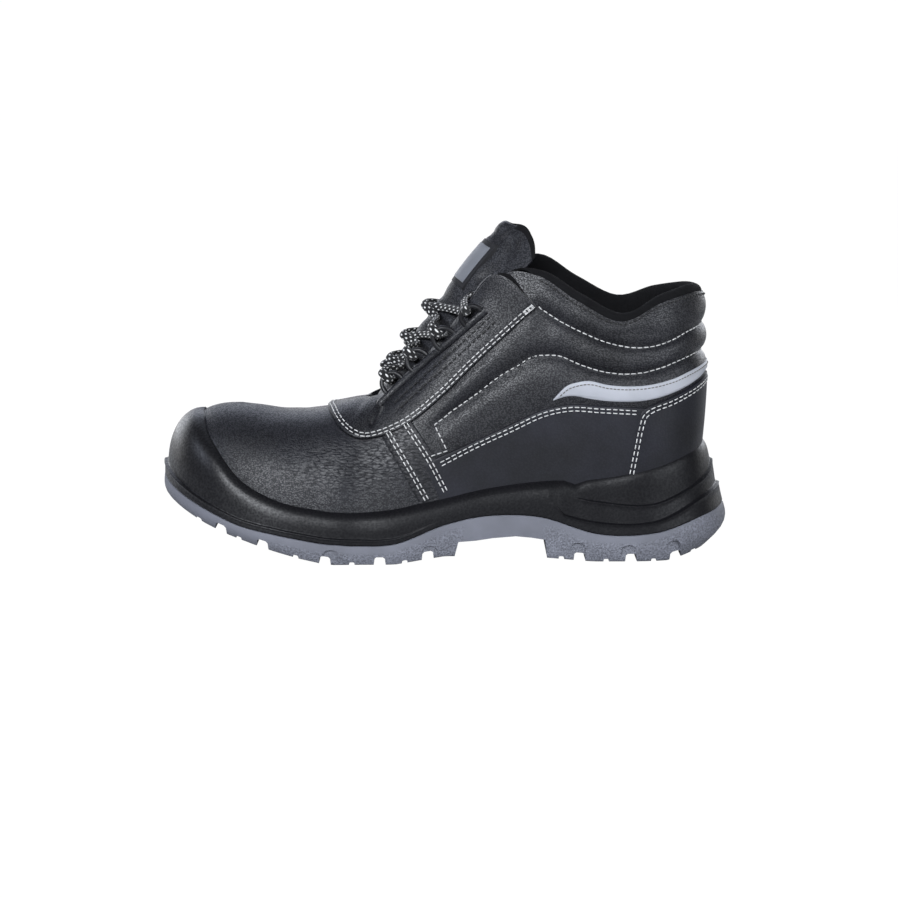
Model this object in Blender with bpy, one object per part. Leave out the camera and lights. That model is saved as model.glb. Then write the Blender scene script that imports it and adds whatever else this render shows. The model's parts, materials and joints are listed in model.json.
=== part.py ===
"""High-top safety shoe for the left foot, as an assembly of separate solids.

The frame has the toe along +X, the wearer's left (the outer side of this shoe) along +Y and +Z up.
The origin is on the floor, in the middle of the sole's length and width.
All tables and sizes are in millimetres, and the meshes are scaled to metres when they are made.
"""

import math
from collections import namedtuple

import bmesh
import bpy
import numpy as np
from mathutils import Vector

MM = 0.001
LATERAL, MEDIAL = 1, -1

# Clearances and material thicknesses
GAP = 0.3
REST = 0.7
WALL = 2.6
OVERLAY = 1.5
STRIP = 0.7
INSOLE = 4.0

# Sewn channels of the padded collar: depths, and half width as a share of the section
CHANNEL_LOW = 2.6
CHANNEL_HIGH = 1.6
CHANNEL_SPREAD = 0.022

# Tongue, lace and lace loops
TONGUE_EDGE = 2.4
LACE_WIDTH = 4.6
LACE_THICK = 2.8
LOOP_COUNT = 4
LOOP_BAR = 1.25
LOOP_LENGTH = 14.0
LOOP_REACH = 11.0
LOOP_LEAN = math.radians(48)
LOOPS = [(24, 88.5), (10.5, 101), (-3, 113.5), (-16, 126)]
THROAT_WAY = (-0.73, 0.68)
LACE_START = 95.0
CROSSINGS = [102, 114, 130]
CROSS_RISE = 13.0

# Tread
GROOVE_DEPTH = 4.2
GROOVE_WIDTH = 5.5
GROOVE_SLANT = 14.0

# One row for each section of the upper, from the middle of the heel round one side to the tip of the toe.
# A section starts on the insole edge at foot_x with half width outer or inner, and ends on the top line at
# (top_x, gap, top_z), which rises by rise on the inner side. It leans over by roll degrees, its corner is a
# superellipse of power square, it swells by swell at half height, and pad is the wall at the top line.
# cup is the height of the midsole's upper edge there, and seam_low and seam_high are the heights of the two
# sewn channels of the padded collar, carried on as levels where there is no padding.
Section = namedtuple("Section", "name foot_x outer inner top_x gap top_z rise roll square swell pad "
                                "cup seam_low seam_high")
SECTIONS = [
    Section("heel_back", -133, 0, 0, -137, 0, 139.5, 0, 30, 2.0, 4.0, 9.0, 61.0, 109.4, 124.7),
    Section("heel_corner", -127, 21, -20, -130.5, 18, 139.8, 0, 30, 2.0, 4.0, 9.0, 56.5, 108, 122.5),
    Section("heel_side", -108, 33.5, -31.5, -113, 32, 135, 1.5, 30, 2.0, 3.5, 9.0, 49.0, 101.5, 114.5),
    Section("ankle", -80, 35.5, -31.5, -92, 37, 125.7, 5, 30, 2.0, 1.5, 9.0, 43.5, 98.8, 113),
    Section("quarter", -50, 37, -31, -69, 36.5, 136.5, 5, 32, 2.0, 0.0, 9.0, 42.3, 107, 122.5),
    Section("collar_front", -22, 40, -33.5, -48, 33, 149.5, 5, 35, 2.0, -1.0, 8.0, 38.8, 102.7, 134),
    Section("facing_top", 2, 44, -38, -27, 28.5, 147.5, 0, 40, 2.0, -2.0, 4.0, 33.5, 88, 122),
    Section("facing_mid", 26, 48, -43.5, 5, 24, 110, 0, 50, 2.05, -2.0, 2.6, 28.3, 70, 92),
    Section("facing_low", 46, 49.2, -47, 27, 18.5, 88.5, 0, 62, 2.1, -1.0, 2.6, 26.5, 60, 76),
    Section("throat_corner", 56, 49.8, -48.6, 37.5, 12, 82.5, 0, 76, 2.2, 0.0, 2.6, 26.8, 56, 71),
    Section("throat_front", 65, 49.7, -49.7, 42, 0, 81, 0, 90, 2.25, 0.0, 2.6, 27.7, 55, 70),
    Section("vamp", 86, 48.3, -49.9, 62, 0, 77.4, 0, 90, 2.3, 0.0, 2.6, 32.0, 56, 69),
    Section("toe_back", 106, 44.2, -47.2, 82, 0, 76.8, 0, 90, 2.4, 0.0, 2.6, 42.0, 60, 70.5),
    Section("toe_side", 123, 36, -41, 96, 0, 78.6, 0, 90, 2.45, 0.0, 2.6, 59.0, 68.5, 74.5),
    Section("toe_corner", 136.5, 20, -27, 104.5, 0, 79.6, 0, 90, 2.5, 0.0, 2.6, 72.0, 75.8, 78.2),
    Section("toe_tip", 143, -4, -4, 108, 0, 80, 0, 90, 2.5, 0.0, 2.6, 76.3, 78.4, 79.4),
]
NAMES = [section.name for section in SECTIONS]
THROAT_FRONT = NAMES.index("throat_front")
TOE_TIP = len(SECTIONS) - 1

# The sole's side at the same sections. rib_high and rib_low are the heights of the two ribs of the midsole,
# which stand out by step_high and step_low, seam is where black meets grey, overhang how far the sole stands
# out there, and belly and tuck are how the grey side swells and then draws in towards the floor.
Side = namedtuple("Side", "rib_high rib_low seam overhang step_high step_low tuck belly")
SIDES = [
    Side(51.0, 39.0, 27.2, 15.5, 1.3, 1.6, 9.0, 2.2),
    Side(41.0, 32.5, 23.0, 12.5, 1.3, 1.6, 6.0, 1.8),
    Side(30.0, 21.0, 15.0, 9.0, 1.3, 1.5, 2.5, 0.8),
    Side(31.5, 20.8, 14.6, 7.8, 1.2, 1.4, 1.5, 0.5),
    Side(37.0, 27.5, 23.5, 6.8, 0.3, 0.3, 1.5, 0.3),
    Side(33.0, 27.5, 24.6, 6.3, 0.0, 0.0, 1.5, 0.3),
    Side(28.0, 23.0, 20.0, 6.3, 0.0, 0.0, 1.5, 0.3),
    Side(20.0, 14.2, 11.0, 6.3, 0.0, 0.5, 1.5, 0.4),
    Side(18.5, 13.4, 10.0, 6.2, 0.0, 0.9, 1.5, 0.4),
    Side(18.5, 13.8, 10.6, 6.2, 0.0, 0.9, 1.5, 0.4),
    Side(19.5, 14.8, 11.4, 6.2, 0.0, 0.9, 1.5, 0.4),
    Side(23.5, 18.7, 15.3, 6.2, 0.0, 0.9, 1.8, 0.4),
    Side(31.0, 23.8, 20.2, 6.3, 0.0, 0.9, 2.2, 0.5),
    Side(44.0, 32.0, 28.3, 6.6, 0.0, 0.9, 3.0, 0.6),
    Side(56.0, 40.5, 36.5, 7.0, 0.0, 0.9, 4.0, 0.8),
    Side(61.0, 46.0, 42.8, 6.9, 0.0, 0.9, 4.5, 0.6),
]

# Heights along the shoe, as rows of (x, z): the insole board, the tread's lowest line and the roof of the arch
BED = [(-145, 35), (-100, 32), (-60, 32), (-37, 31), (0, 25), (30, 18.5), (50, 17.5), (75, 20), (100, 27),
       (126, 36.5), (145, 45)]
TREAD = [(-152, 18), (-146, 11.5), (-141, 8), (-135, 4.6), (-126, 2), (-117, 0), (-78, 0), (-66, 1), (-54, 2),
         (0, 3.8), (14, 1.8), (26, 0), (58, 0), (64, 0.6), (75, 3), (88, 6.5), (100, 10.3), (113, 14.7),
         (126, 20), (136, 24.8), (146, 29.5), (152, 37)]
ARCH = [(-52.5, 11.8), (-45, 13), (-37, 13.8), (-25, 13), (-16, 11.8), (-7, 11.3)]
ARCH_FOOT = (-54.5, -2.0)

# Where the main grooves of the tread reach the outer edge
GROOVES = [118, 96, 62.5, 34, 9, -70.5, -98, -121]

# The tongue's middle line and section: half is its half width, drop how far its edges lie behind the middle,
# and thick the padding in the middle.
Fold = namedtuple("Fold", "x z half drop thick")
TONGUE = [
    Fold(47.0, 72.0, 16, 8.0, 3.0),
    Fold(42.3, 75.3, 19, 12.0, 4.0),
    Fold(37.8, 80.4, 22.5, 18.0, 5.0),
    Fold(33.0, 89.0, 25, 20.5, 7.0),
    Fold(17.5, 115, 25.5, 23.0, 9.0),
    Fold(4.0, 134, 25.5, 23.0, 9.0),
    Fold(-12.0, 156, 24, 19.0, 9.0),
    Fold(-29.5, 176, 29, 16.0, 7.0),
]
TONGUE_POWER = 1.9
LABEL = (0.76, 0.94, 0.5, 1.2)

# Edges of the overlays, seen from the side, as rows of (x, z)
# STRIP_BACK holds the two heights of the strip behind the heel.
QUARTER_TOP = [(4.7, 54.5), (-13, 62.4), (-32.4, 71.3), (-52, 80), (-65.7, 82.6), (-81, 81.8), (-101.2, 80.6)]
QUARTER_FOOT = (-6, -94)
COUNTER_FRONT = [(-95, 46), (-97.5, 58), (-100.3, 72), (-103, 80)]
COUNTER_TOP = [(0.0, 97.0), (0.8, 94.0), (1.5, 87.5), (2.1, 80.5)]
BAND_FRONT = [(13.0, 33.6), (21.5, 50.5), (31.5, 66)]
BAND_REAR = [(-1.5, 37.5), (5.5, 55), (15.5, 70.5)]
FACING_LOW = [(38, 65.5), (19.8, 74.5), (2.6, 89), (-13, 104.5), (-28.7, 119.2), (-46, 135)]
FLAP_TOP = [(-47, 135.3), (-40, 140.2), (-27, 147.6), (-20, 152)]
STRIP_TOP = [(-58, 86.5), (-68, 93.8), (-76, 94.6), (-93, 91.9), (-105, 92.4), (-118, 95.8), (-128, 100)]
STRIP_LOW = [(-57, 84.8), (-66, 86.6), (-76, 85.6), (-93, 84.2), (-105, 85), (-116, 88.2), (-127, 93.6)]
STRIP_BACK = (100, 104.5)

LEATHER, PU_BLACK, PU_GREY = "leather", "black_sole", "grey_sole"
LINING, REFLECTIVE, PLASTIC, CORD = "lining", "reflective", "plastic", "lace"
COLOURS = {
    LEATHER: ((0.022, 0.022, 0.025), 0.5),
    PU_BLACK: ((0.014, 0.014, 0.015), 0.45),
    PU_GREY: ((0.19, 0.205, 0.235), 0.7),
    LINING: ((0.008, 0.008, 0.009), 0.95),
    REFLECTIVE: ((0.52, 0.55, 0.61), 0.4),
    PLASTIC: ((0.018, 0.018, 0.02), 0.4),
    CORD: ((0.05, 0.05, 0.05), 0.85),
}


# Curves through tables

def smooth(knots, values, at, level_ends=False):
    """A smooth curve through (knots, values), read at the given places."""
    knots, values = np.asarray(knots, float), np.asarray(values, float)
    at = np.clip(np.asarray(at, float), knots[0], knots[-1])
    chord = np.diff(values) / np.diff(knots)
    slope = np.concatenate([chord[:1], (chord[1:] + chord[:-1]) / 2, chord[-1:]])
    if level_ends:
        slope[0] = slope[-1] = 0.0
    i = np.clip(np.searchsorted(knots, at, side="right") - 1, 0, len(knots) - 2)
    span = knots[i + 1] - knots[i]
    u = (at - knots[i]) / span
    start, end = values[i], values[i + 1]
    return (start + u * u * (3 - 2 * u) * (end - start)
            + span * u * (1 - u) * ((1 - u) * slope[i] - u * slope[i + 1]))


def column(rows, name, t, level_ends=False):
    """A named column of a table with one row for each section, read smoothly at t."""
    return smooth(range(len(rows)), [getattr(row, name) for row in rows], t, level_ends)


def height(rows, x):
    """The height at x of a table of (x, z) rows."""
    return smooth([row[0] for row in rows], [row[1] for row in rows], x)


def tread_height(x):
    """The lowest line of the tread, with its two level stretches kept exactly level."""
    return np.interp(x, [row[0] for row in TREAD], [row[1] for row in TREAD])


def ease(low, high, x):
    """0 below low, 1 above high and a smooth step between them."""
    u = np.clip((np.asarray(x, float) - low) / (high - low), 0.0, 1.0)
    return u * u * (3 - 2 * u)


# The last: the outer face of the upper as a function of side, section t and level v

def foot_point(side, t):
    """A point of the insole edge, on the insole board."""
    x = column(SECTIONS, "foot_x", t, level_ends=True)
    y = column(SECTIONS, "outer" if side == LATERAL else "inner", t)
    return np.stack([x, y, height(BED, x)], -1)


def outward(side, t):
    """The level direction that points out of the insole edge."""
    step = 0.02
    ahead = foot_point(side, np.minimum(t + step, TOE_TIP))
    behind = foot_point(side, np.maximum(t - step, 0.0))
    along = ahead - behind
    out = np.stack([-along[..., 1], along[..., 0], np.zeros_like(along[..., 0])], -1) * side
    return out / np.linalg.norm(out, axis=-1, keepdims=True)


def top_point(side, t):
    """A point of the top line: the collar, the facing's edge, then the ridge of the vamp."""
    x = column(SECTIONS, "top_x", t, level_ends=True)
    open_rows = SECTIONS[:THROAT_FRONT + 1]
    gap = np.where(t < THROAT_FRONT, column(open_rows, "gap", np.minimum(t, THROAT_FRONT)), 0.0)
    z = column(SECTIONS, "top_z", t, level_ends=True)
    if side == MEDIAL:
        z = z + column(SECTIONS, "rise", t, level_ends=True)
    return np.stack([x, side * np.maximum(gap, 0.0), z], -1)


def level_of(side, t, name):
    """The level v of a height that is a column of the sections' table."""
    return level(side, t, column(SECTIONS, name, t))


def quilting(side, t, v):
    """How far the padded collar draws in at its two sewn channels."""
    low = np.exp(-(((v - level_of(side, t, "seam_low")) / CHANNEL_SPREAD) ** 2))
    high = np.exp(-(((v - level_of(side, t, "seam_high")) / CHANNEL_SPREAD) ** 2))
    return CHANNEL_LOW * (1.0 - ease(5.0, 6.6, t)) * low + CHANNEL_HIGH * (1.0 - ease(4.6, 5.4, t)) * high


def rolled(t):
    """How far a section leans over at its top, and the power of its corner."""
    roll = np.radians(np.clip(column(SECTIONS, "roll", t), 5.0, 90.0))
    return roll, 2.0 / column(SECTIONS, "square", t)


def skin(side, t, v):
    """A point of the upper's outer face: v is 0 on the insole edge and 1 on the top line."""
    t, v = np.broadcast_arrays(np.asarray(t, float), np.asarray(v, float))
    foot, top = foot_point(side, t), top_point(side, t)
    roll, power = rolled(t)
    over = (1 - np.clip(np.cos(v * roll), 0, 1) ** power) / (1 - np.clip(np.cos(roll), 0, 1) ** power)
    up = (np.sin(v * roll) / np.sin(roll)) ** power
    point = foot.copy()
    point[..., :2] += (top - foot)[..., :2] * over[..., None]
    point[..., 2] += (top - foot)[..., 2] * up
    swell = column(SECTIONS, "swell", t) * np.sin(np.pi * v) - quilting(side, t, v)
    return point + outward(side, t) * swell[..., None]


def level(side, t, z):
    """The level v at which the outer face reaches height z."""
    foot, top = foot_point(side, t), top_point(side, t)
    roll, power = rolled(t)
    share = np.clip((z - foot[..., 2]) / (top[..., 2] - foot[..., 2]), 0.0, 1.0)
    return np.arcsin(np.clip(share ** (1 / power) * np.sin(roll), -1, 1)) / roll


def normal(side, t, v):
    """The unit normal of the outer face, pointing out of the shoe."""
    t, v = np.broadcast_arrays(np.asarray(t, float), np.asarray(v, float))
    step = 0.01
    along = skin(side, np.minimum(t + step, TOE_TIP), v) - skin(side, np.maximum(t - step, 0.0), v)
    up = skin(side, t, np.minimum(v + step, 1.0)) - skin(side, t, np.maximum(v - step, 0.0))
    out = np.cross(up, along) * side
    out[..., 1] = np.where(t <= 0.0, 0.0, out[..., 1])
    ridge = top_point(side, np.minimum(t + 0.3, TOE_TIP)) - top_point(side, np.maximum(t - 0.3, 0.0))
    over_ridge = np.stack([-ridge[..., 2], 0.0 * t, ridge[..., 0]], -1)
    on_ridge = (t >= THROAT_FRONT) & (v > 0.999)
    out = np.where(on_ridge[..., None], over_ridge, out)
    return out / np.linalg.norm(out, axis=-1, keepdims=True)


def thickness(t, v):
    """The wall of the upper, which swells into the padded collar."""
    return WALL + (column(SECTIONS, "pad", t) - WALL) * ease(0.5, 0.74, v)


def locate(side, x, z):
    """The section t at which the outer face, at height z, is at x along the shoe."""
    stations = np.linspace(0.0, TOE_TIP, 301)
    found = []
    for one_x, one_z in np.broadcast(x, z):
        xs = skin(side, stations, level(side, stations, one_z))[:, 0]
        found.append(np.interp(one_x, np.maximum.accumulate(xs), stations))
    return np.array(found).reshape(np.broadcast(x, z).shape)


def stations():
    """Section places round one side, closer together at heel and toe."""
    places = []
    for i, name in enumerate(NAMES[:-1]):
        steps = 3 if name.startswith(("heel", "toe", "throat")) else 2
        places += [i + k / steps for k in range(steps)]
    return np.array(places + [TOE_TIP], float)


STATIONS = stations()
AROUND = [(LATERAL, t) for t in STATIONS] + [(MEDIAL, t) for t in STATIONS[-2:0:-1]]


# Meshes

def material(name):
    """The plain material of one finish."""
    found = bpy.data.materials.get(name)
    if found:
        return found
    made = bpy.data.materials.new(name)
    made.use_nodes = True
    colour, roughness = COLOURS[name]
    shader = made.node_tree.nodes["Principled BSDF"]
    shader.inputs["Base Color"].default_value = (*colour, 1.0)
    shader.inputs["Roughness"].default_value = roughness
    made.diffuse_color = (*colour, 1.0)
    return made


def make(name, points, faces, finish, sharp=35.0):
    """A closed solid from points in millimetres and faces."""
    mesh = bpy.data.meshes.new(name)
    mesh.from_pydata([Vector(p) * MM for p in np.asarray(points, float)], [], faces)
    work = bmesh.new()
    work.from_mesh(mesh)
    bmesh.ops.remove_doubles(work, verts=work.verts, dist=1e-7)
    bmesh.ops.dissolve_degenerate(work, edges=work.edges, dist=1e-8)
    bmesh.ops.recalc_face_normals(work, faces=work.faces)
    if work.calc_volume(signed=True) < 0:
        bmesh.ops.reverse_faces(work, faces=work.faces)
    work.to_mesh(mesh)
    work.free()
    mesh.materials.append(material(finish))
    mesh.shade_smooth()
    mesh.set_sharp_from_angle(angle=math.radians(sharp))
    made = bpy.data.objects.new(name, mesh)
    bpy.context.scene.collection.objects.link(made)
    return made


def strips(rows, columns, closed_columns=False, start=0):
    """Quads between the points of a grid that is stored row by row."""
    quads = []
    for r in range(rows - 1):
        for c in range(columns if closed_columns else columns - 1):
            d = (c + 1) % columns
            quads.append((start + r * columns + c, start + r * columns + d,
                          start + (r + 1) * columns + d, start + (r + 1) * columns + c))
    return quads


def sheet_solid(name, outer, inner, finish):
    """A solid between two grids of the same shape, an outer and an inner face."""
    rows, columns = outer.shape[:2]
    points = np.concatenate([outer.reshape(-1, 3), inner.reshape(-1, 3)])
    count = rows * columns
    faces = strips(rows, columns) + [q[::-1] for q in strips(rows, columns, start=count)]
    edge = ([c for c in range(columns)] + [r * columns + columns - 1 for r in range(1, rows)]
            + [(rows - 1) * columns + c for c in range(columns - 2, -1, -1)]
            + [r * columns for r in range(rows - 2, 0, -1)])
    for a, b in zip(edge, edge[1:] + edge[:1]):
        faces.append((b, a, a + count, b + count))
    return make(name, points, faces, finish)


def tub(name, chains, finish):
    """A solid of closed rings of chain points, capped by rungs between the two sides of the shoe."""
    chains = np.asarray(chains)
    rings, count = chains.shape[1], chains.shape[0]
    points = chains.transpose(1, 0, 2).reshape(-1, 3)
    faces = strips(rings, count, closed_columns=True)
    half = len(STATIONS)
    for ring in (0, rings - 1):
        start = ring * count
        for i in range(half - 1):
            rung = [start + i, start + i + 1, start + (count - i - 1) % count, start + (count - i) % count]
            faces += [three for three in (rung[:3], [rung[0], *rung[2:]]) if len(set(three)) == 3]
    return make(name, points, faces, finish)


def swept(name, path, side_way, half_width, half_thick, sides, finish, closed=False):
    """An oval cord along a path, wide along side_way."""
    path, side_way = np.asarray(path, float), np.asarray(side_way, float)
    if closed:
        along = np.roll(path, -1, 0) - np.roll(path, 1, 0)
    else:
        along = np.gradient(path, axis=0)
    along /= np.linalg.norm(along, axis=1, keepdims=True)
    wide = side_way - along * (side_way * along).sum(1, keepdims=True)
    wide /= np.linalg.norm(wide, axis=1, keepdims=True)
    thick = np.cross(along, wide)
    turn = np.arange(sides) * 2 * np.pi / sides
    ring = (wide[:, None] * (np.cos(turn) * half_width)[None, :, None]
            + thick[:, None] * (np.sin(turn) * half_thick)[None, :, None])
    points = (path[:, None] + ring).reshape(-1, 3)
    count = len(path)
    faces = strips(count, sides, closed_columns=True)
    if closed:
        faces += [((count - 1) * sides + k, (count - 1) * sides + (k + 1) % sides, (k + 1) % sides, k)
                  for k in range(sides)]
    else:
        faces += [tuple(range(sides)), tuple((count - 1) * sides + k for k in range(sides))]
    return make(name, points, faces, finish)


# Upper

CUP_SHARES = np.array([0.0, 0.25, 0.5, 0.75, 1.0])


def outer_levels(side, t):
    """Levels of the outer face's points, with rows on the midsole's edge and on the sewn channels."""
    cup, low, high = (float(level_of(side, t, name)) for name in ("cup", "seam_low", "seam_high"))
    return np.concatenate([cup * CUP_SHARES, cup + (low - cup) * np.array([0.4, 0.75, 0.93, 1.0]),
                           low + (high - low) * np.array([0.2, 0.5, 0.8, 1.0]),
                           high + (1 - high) * np.array([0.22, 0.55, 1.0])])


def inner_levels(side, t):
    """Levels of the lining's points."""
    cup, low, high = (float(level_of(side, t, name)) for name in ("cup", "seam_low", "seam_high"))
    return np.array([0.0, cup / 2, cup, (cup + low) / 2, low, high, 1.0])


RIM_TURNS = np.radians([40, 90, 140])


def upper():
    """The hollow wall of the upper, open at the collar, the throat and underneath."""
    points, faces, outer, inner, rim = [], [], [], [], []
    for side, t in AROUND:
        outside = skin(side, t, outer_levels(side, t))
        v = inner_levels(side, t)
        draw = outward(side, t) * quilting(side, t, v)[:, None]
        inside = skin(side, t, v) + draw - normal(side, t, v) * thickness(t, v)[:, None]
        across = (inside[-1] - outside[-1]) / 2
        rise = skin(side, t, 1.0) - skin(side, t, 0.97)
        rise *= np.linalg.norm(across) / np.linalg.norm(rise) * (t < THROAT_FRONT)
        middle = outside[-1] + across
        arc = [middle - across * math.cos(a) + rise * math.sin(a) for a in RIM_TURNS]
        for store, chain in ((outer, outside), (inner, inside), (rim, arc)):
            store.append(list(range(len(points), len(points) + len(chain))))
            points.extend(chain)
    count = len(AROUND)
    for i in range(count):
        j = (i + 1) % count
        for k in range(len(outer[i]) - 1):
            faces.append((outer[i][k], outer[j][k], outer[j][k + 1], outer[i][k + 1]))
        for k in range(len(inner[i]) - 1):
            faces.append((inner[i][k], inner[i][k + 1], inner[j][k + 1], inner[j][k]))
        faces.append((outer[i][0], inner[i][0], inner[j][0], outer[j][0]))
        if min(AROUND[i][1], AROUND[j][1]) < THROAT_FRONT:
            over = [[outer[n][-1], *rim[n], inner[n][-1]] for n in (i, j)]
            for k in range(len(over[0]) - 1):
                faces.append((over[0][k], over[1][k], over[1][k + 1], over[0][k + 1]))
    used = {v for face in faces for v in face}
    order = {v: n for n, v in enumerate(sorted(used))}
    return make("upper", [points[v] for v in sorted(used)],
                [tuple(order[v] for v in face) for face in faces], LEATHER)


# Sole

def shell_point(side, t, z, stand):
    """A point at height z, standing out of the upper, or out of the insole edge below the insole."""
    foot = foot_point(side, t)
    v = level(side, t, z)
    point = skin(side, t, v)
    if z < foot[2]:
        return np.array([foot[0], foot[1], z]) + outward(side, t) * stand
    return point + normal(side, t, v) * stand


def midsole():
    """The black sole with its toe bumper and ribbed heel cup, hollowed for the upper."""
    chains = []
    for side, t in AROUND:
        foot = foot_point(side, t)
        cup = float(column(SECTIONS, "cup", t))
        row = {name: float(column(SIDES, name, t)) for name in Side._fields}
        chain = [foot + outward(side, t) * GAP - [0, 0, GAP]]
        v_cup = float(level(side, t, cup))
        for share in CUP_SHARES[1:]:
            v = v_cup * share
            chain.append(skin(side, t, v) + normal(side, t, v) * GAP)
        bead = 2.4
        reach = row["overhang"] - row["step_high"] - row["step_low"]
        levels = [(cup, 1.3), (cup - 1.6, bead)]
        for z, step in ((row["rib_high"], row["step_high"]), (row["rib_low"], row["step_low"])):
            stand = bead + (reach - bead) * (cup - z) / (cup - row["seam"])
            done = row["step_high"] if z == row["rib_low"] else 0.0
            middle = (levels[-1][0] + z) / 2
            levels.append((middle, (levels[-1][1] + stand + done) / 2 + 0.35))
            levels += [(z + 0.7, stand + done), (z - 0.7, stand + done + step)]
        levels += [((row["rib_low"] + row["seam"]) / 2 - 0.3, row["overhang"] - 0.1)]
        levels += [(row["seam"], row["overhang"])]
        chain += [shell_point(side, t, z, stand) for z, stand in levels]
        chains.append(chain)
    return tub("midsole", chains, PU_BLACK)


def cutter(name, points, faces):
    """A hidden solid that cuts another."""
    made = make(name, points, faces, PU_GREY)
    made.hide_render = True
    made.display_type = "WIRE"
    return made


def cut(target, tool):
    """Cuts a tool out of a solid."""
    modifier = target.modifiers.new(tool.name, "BOOLEAN")
    modifier.operation = "DIFFERENCE"
    modifier.solver = "EXACT"
    modifier.object = tool


def prism(outline, low, high):
    """Points and faces of an outline in x and z, carried from y low to y high."""
    count = len(outline)
    points = [(x, low, z) for x, z in outline] + [(x, high, z) for x, z in outline]
    faces = [tuple(range(count)), tuple(range(2 * count - 1, count - 1, -1))]
    faces += [(k, k + count, (k + 1) % count + count, (k + 1) % count) for k in range(count)]
    return points, faces


def joined(shapes):
    """Points and faces of several separate shapes as one mesh."""
    points, faces = [], []
    for more_points, more_faces in shapes:
        faces += [tuple(v + len(points) for v in face) for face in more_faces]
        points += list(more_points)
    return points, faces


def groove(x, side):
    """One half of a groove across the tread, slanting from the edge at x back towards the middle."""
    floor = float(tread_height(x))
    slope = float(tread_height(x + 3) - tread_height(x - 3)) / 6
    half, deep = GROOVE_WIDTH / 2, GROOVE_DEPTH
    section = [(-half - 1.2, -6), (half + 1.2, -6), (half, deep - 0.8), (half - 1, deep),
               (1 - half, deep), (-half, deep - 0.8)]
    outline = [(along, up + along * slope) for along, up in section]
    points, faces = prism(outline, 0.0, 75.0)
    back = math.tan(math.radians(GROOVE_SLANT))
    edge = 48.0
    placed = [(x + px - (edge - py) * back, side * py, floor + pz - (edge - py) * back * slope)
              for px, py, pz in points]
    return placed, faces


def outsole():
    """The grey sole with its arch and lugs."""
    chains = []
    for side, t in AROUND:
        foot = foot_point(side, t)
        row = {name: float(column(SIDES, name, t)) for name in Side._fields}
        out = outward(side, t)
        top = row["seam"] - GAP
        edge = foot + out * (row["overhang"] - row["tuck"])
        low = float(tread_height(edge[0]))
        chain = []
        for share in (0.0, 0.33, 0.66, 0.85, 1.0):
            stand = row["overhang"] + row["belly"] * math.sin(math.pi * share) - row["tuck"] * share ** 3
            point = foot + out * stand
            point[2] = top + (low - top) * share
            chain.append(point)
        chains.append(chain)
    sole = tub("outsole", chains, PU_GREY)
    front, back = ARCH_FOOT[1], ARCH_FOOT[0]
    roof = [(back, -8)] + ARCH + [(front, -8)]
    cut(sole, cutter("arch_cutter", *prism(roof, -80, 80)))
    for side, name in ((LATERAL, "grooves_outer"), (MEDIAL, "grooves_inner")):
        cut(sole, cutter(name, *joined([groove(x, side) for x in GROOVES])))
    return sole


def insole():
    """The loose footbed inside the upper."""
    chains = []
    for side, t in AROUND:
        edge = foot_point(side, t) - outward(side, t) * (WALL + 2 * GAP)
        chains.append([edge + [0, 0, lift] for lift in (0.0, INSOLE * 0.6, INSOLE)])
        chains[-1][2] = chains[-1][2] - outward(side, t) * 1.5
    return tub("insole", chains, LINING)


# Tongue

def fold(name, s):
    """A column of the tongue's table at s, from 0 at its root to 1 at its top."""
    return column(TONGUE, name, np.asarray(s, float) * (len(TONGUE) - 1))


def tongue_point(s, w, lift=0.0):
    """A point on the tongue's front at s along it and w across it, from -1 to 1, standing off by lift."""
    s, w = np.broadcast_arrays(np.asarray(s, float), np.asarray(w, float))
    step = 0.01
    dx = fold("x", np.minimum(s + step, 1)) - fold("x", np.maximum(s - step, 0))
    dz = fold("z", np.minimum(s + step, 1)) - fold("z", np.maximum(s - step, 0))
    length = np.hypot(dx, dz)
    front = np.stack([dz / length, np.zeros_like(dx), -dx / length], -1)
    middle = np.stack([fold("x", s), np.zeros_like(dx), fold("z", s)], -1)
    half, drop = fold("half", s), fold("drop", s)
    behind = drop * np.abs(w) ** TONGUE_POWER
    slope = drop * TONGUE_POWER * np.abs(w) ** (TONGUE_POWER - 1) * np.sign(w) / half
    tilt = 1 / np.sqrt(1 + slope ** 2)
    face = front * tilt[..., None]
    face[..., 1] += slope * tilt
    point = middle - front * behind[..., None]
    point[..., 1] += half * w
    return point + face * np.asarray(lift)[..., None]


def tongue():
    """The padded leather tongue under the facings."""
    along, across = np.meshgrid(np.linspace(0, 1, 15), np.linspace(-1, 1, 13), indexing="ij")
    padding = TONGUE_EDGE + (fold("thick", along) - TONGUE_EDGE) * (1 - np.abs(across) ** 3)
    return sheet_solid("tongue", tongue_point(along, across, 0.0 * along),
                       tongue_point(along, across, -padding), LEATHER)


def label():
    """The plain patch sewn on the front of the tongue."""
    low, high, wide, thick = LABEL
    along, across = np.meshgrid(np.linspace(low, high, 6), np.linspace(-wide, wide, 7), indexing="ij")
    return sheet_solid("tongue_label", tongue_point(along, across, GAP + thick + 0 * along),
                       tongue_point(along, across, GAP + 0 * along), REFLECTIVE)


# Overlays on the upper

def overlay(name, side_t_z, rest, thick, finish):
    """A layer over the upper. side_t_z holds sections and heights on a grid, negative sections on the inner side."""
    t, z = side_t_z
    outer, inner = np.empty((*t.shape, 3)), np.empty((*t.shape, 3))
    for index in np.ndindex(t.shape):
        side = LATERAL if t[index] >= 0 else MEDIAL
        v = level(side, abs(t[index]), z[index])
        base, out = skin(side, abs(t[index]), v), normal(side, abs(t[index]), v)
        inner[index], outer[index] = base + out * rest, base + out * (rest + thick)
    return sheet_solid(name, outer, inner, finish)


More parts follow.
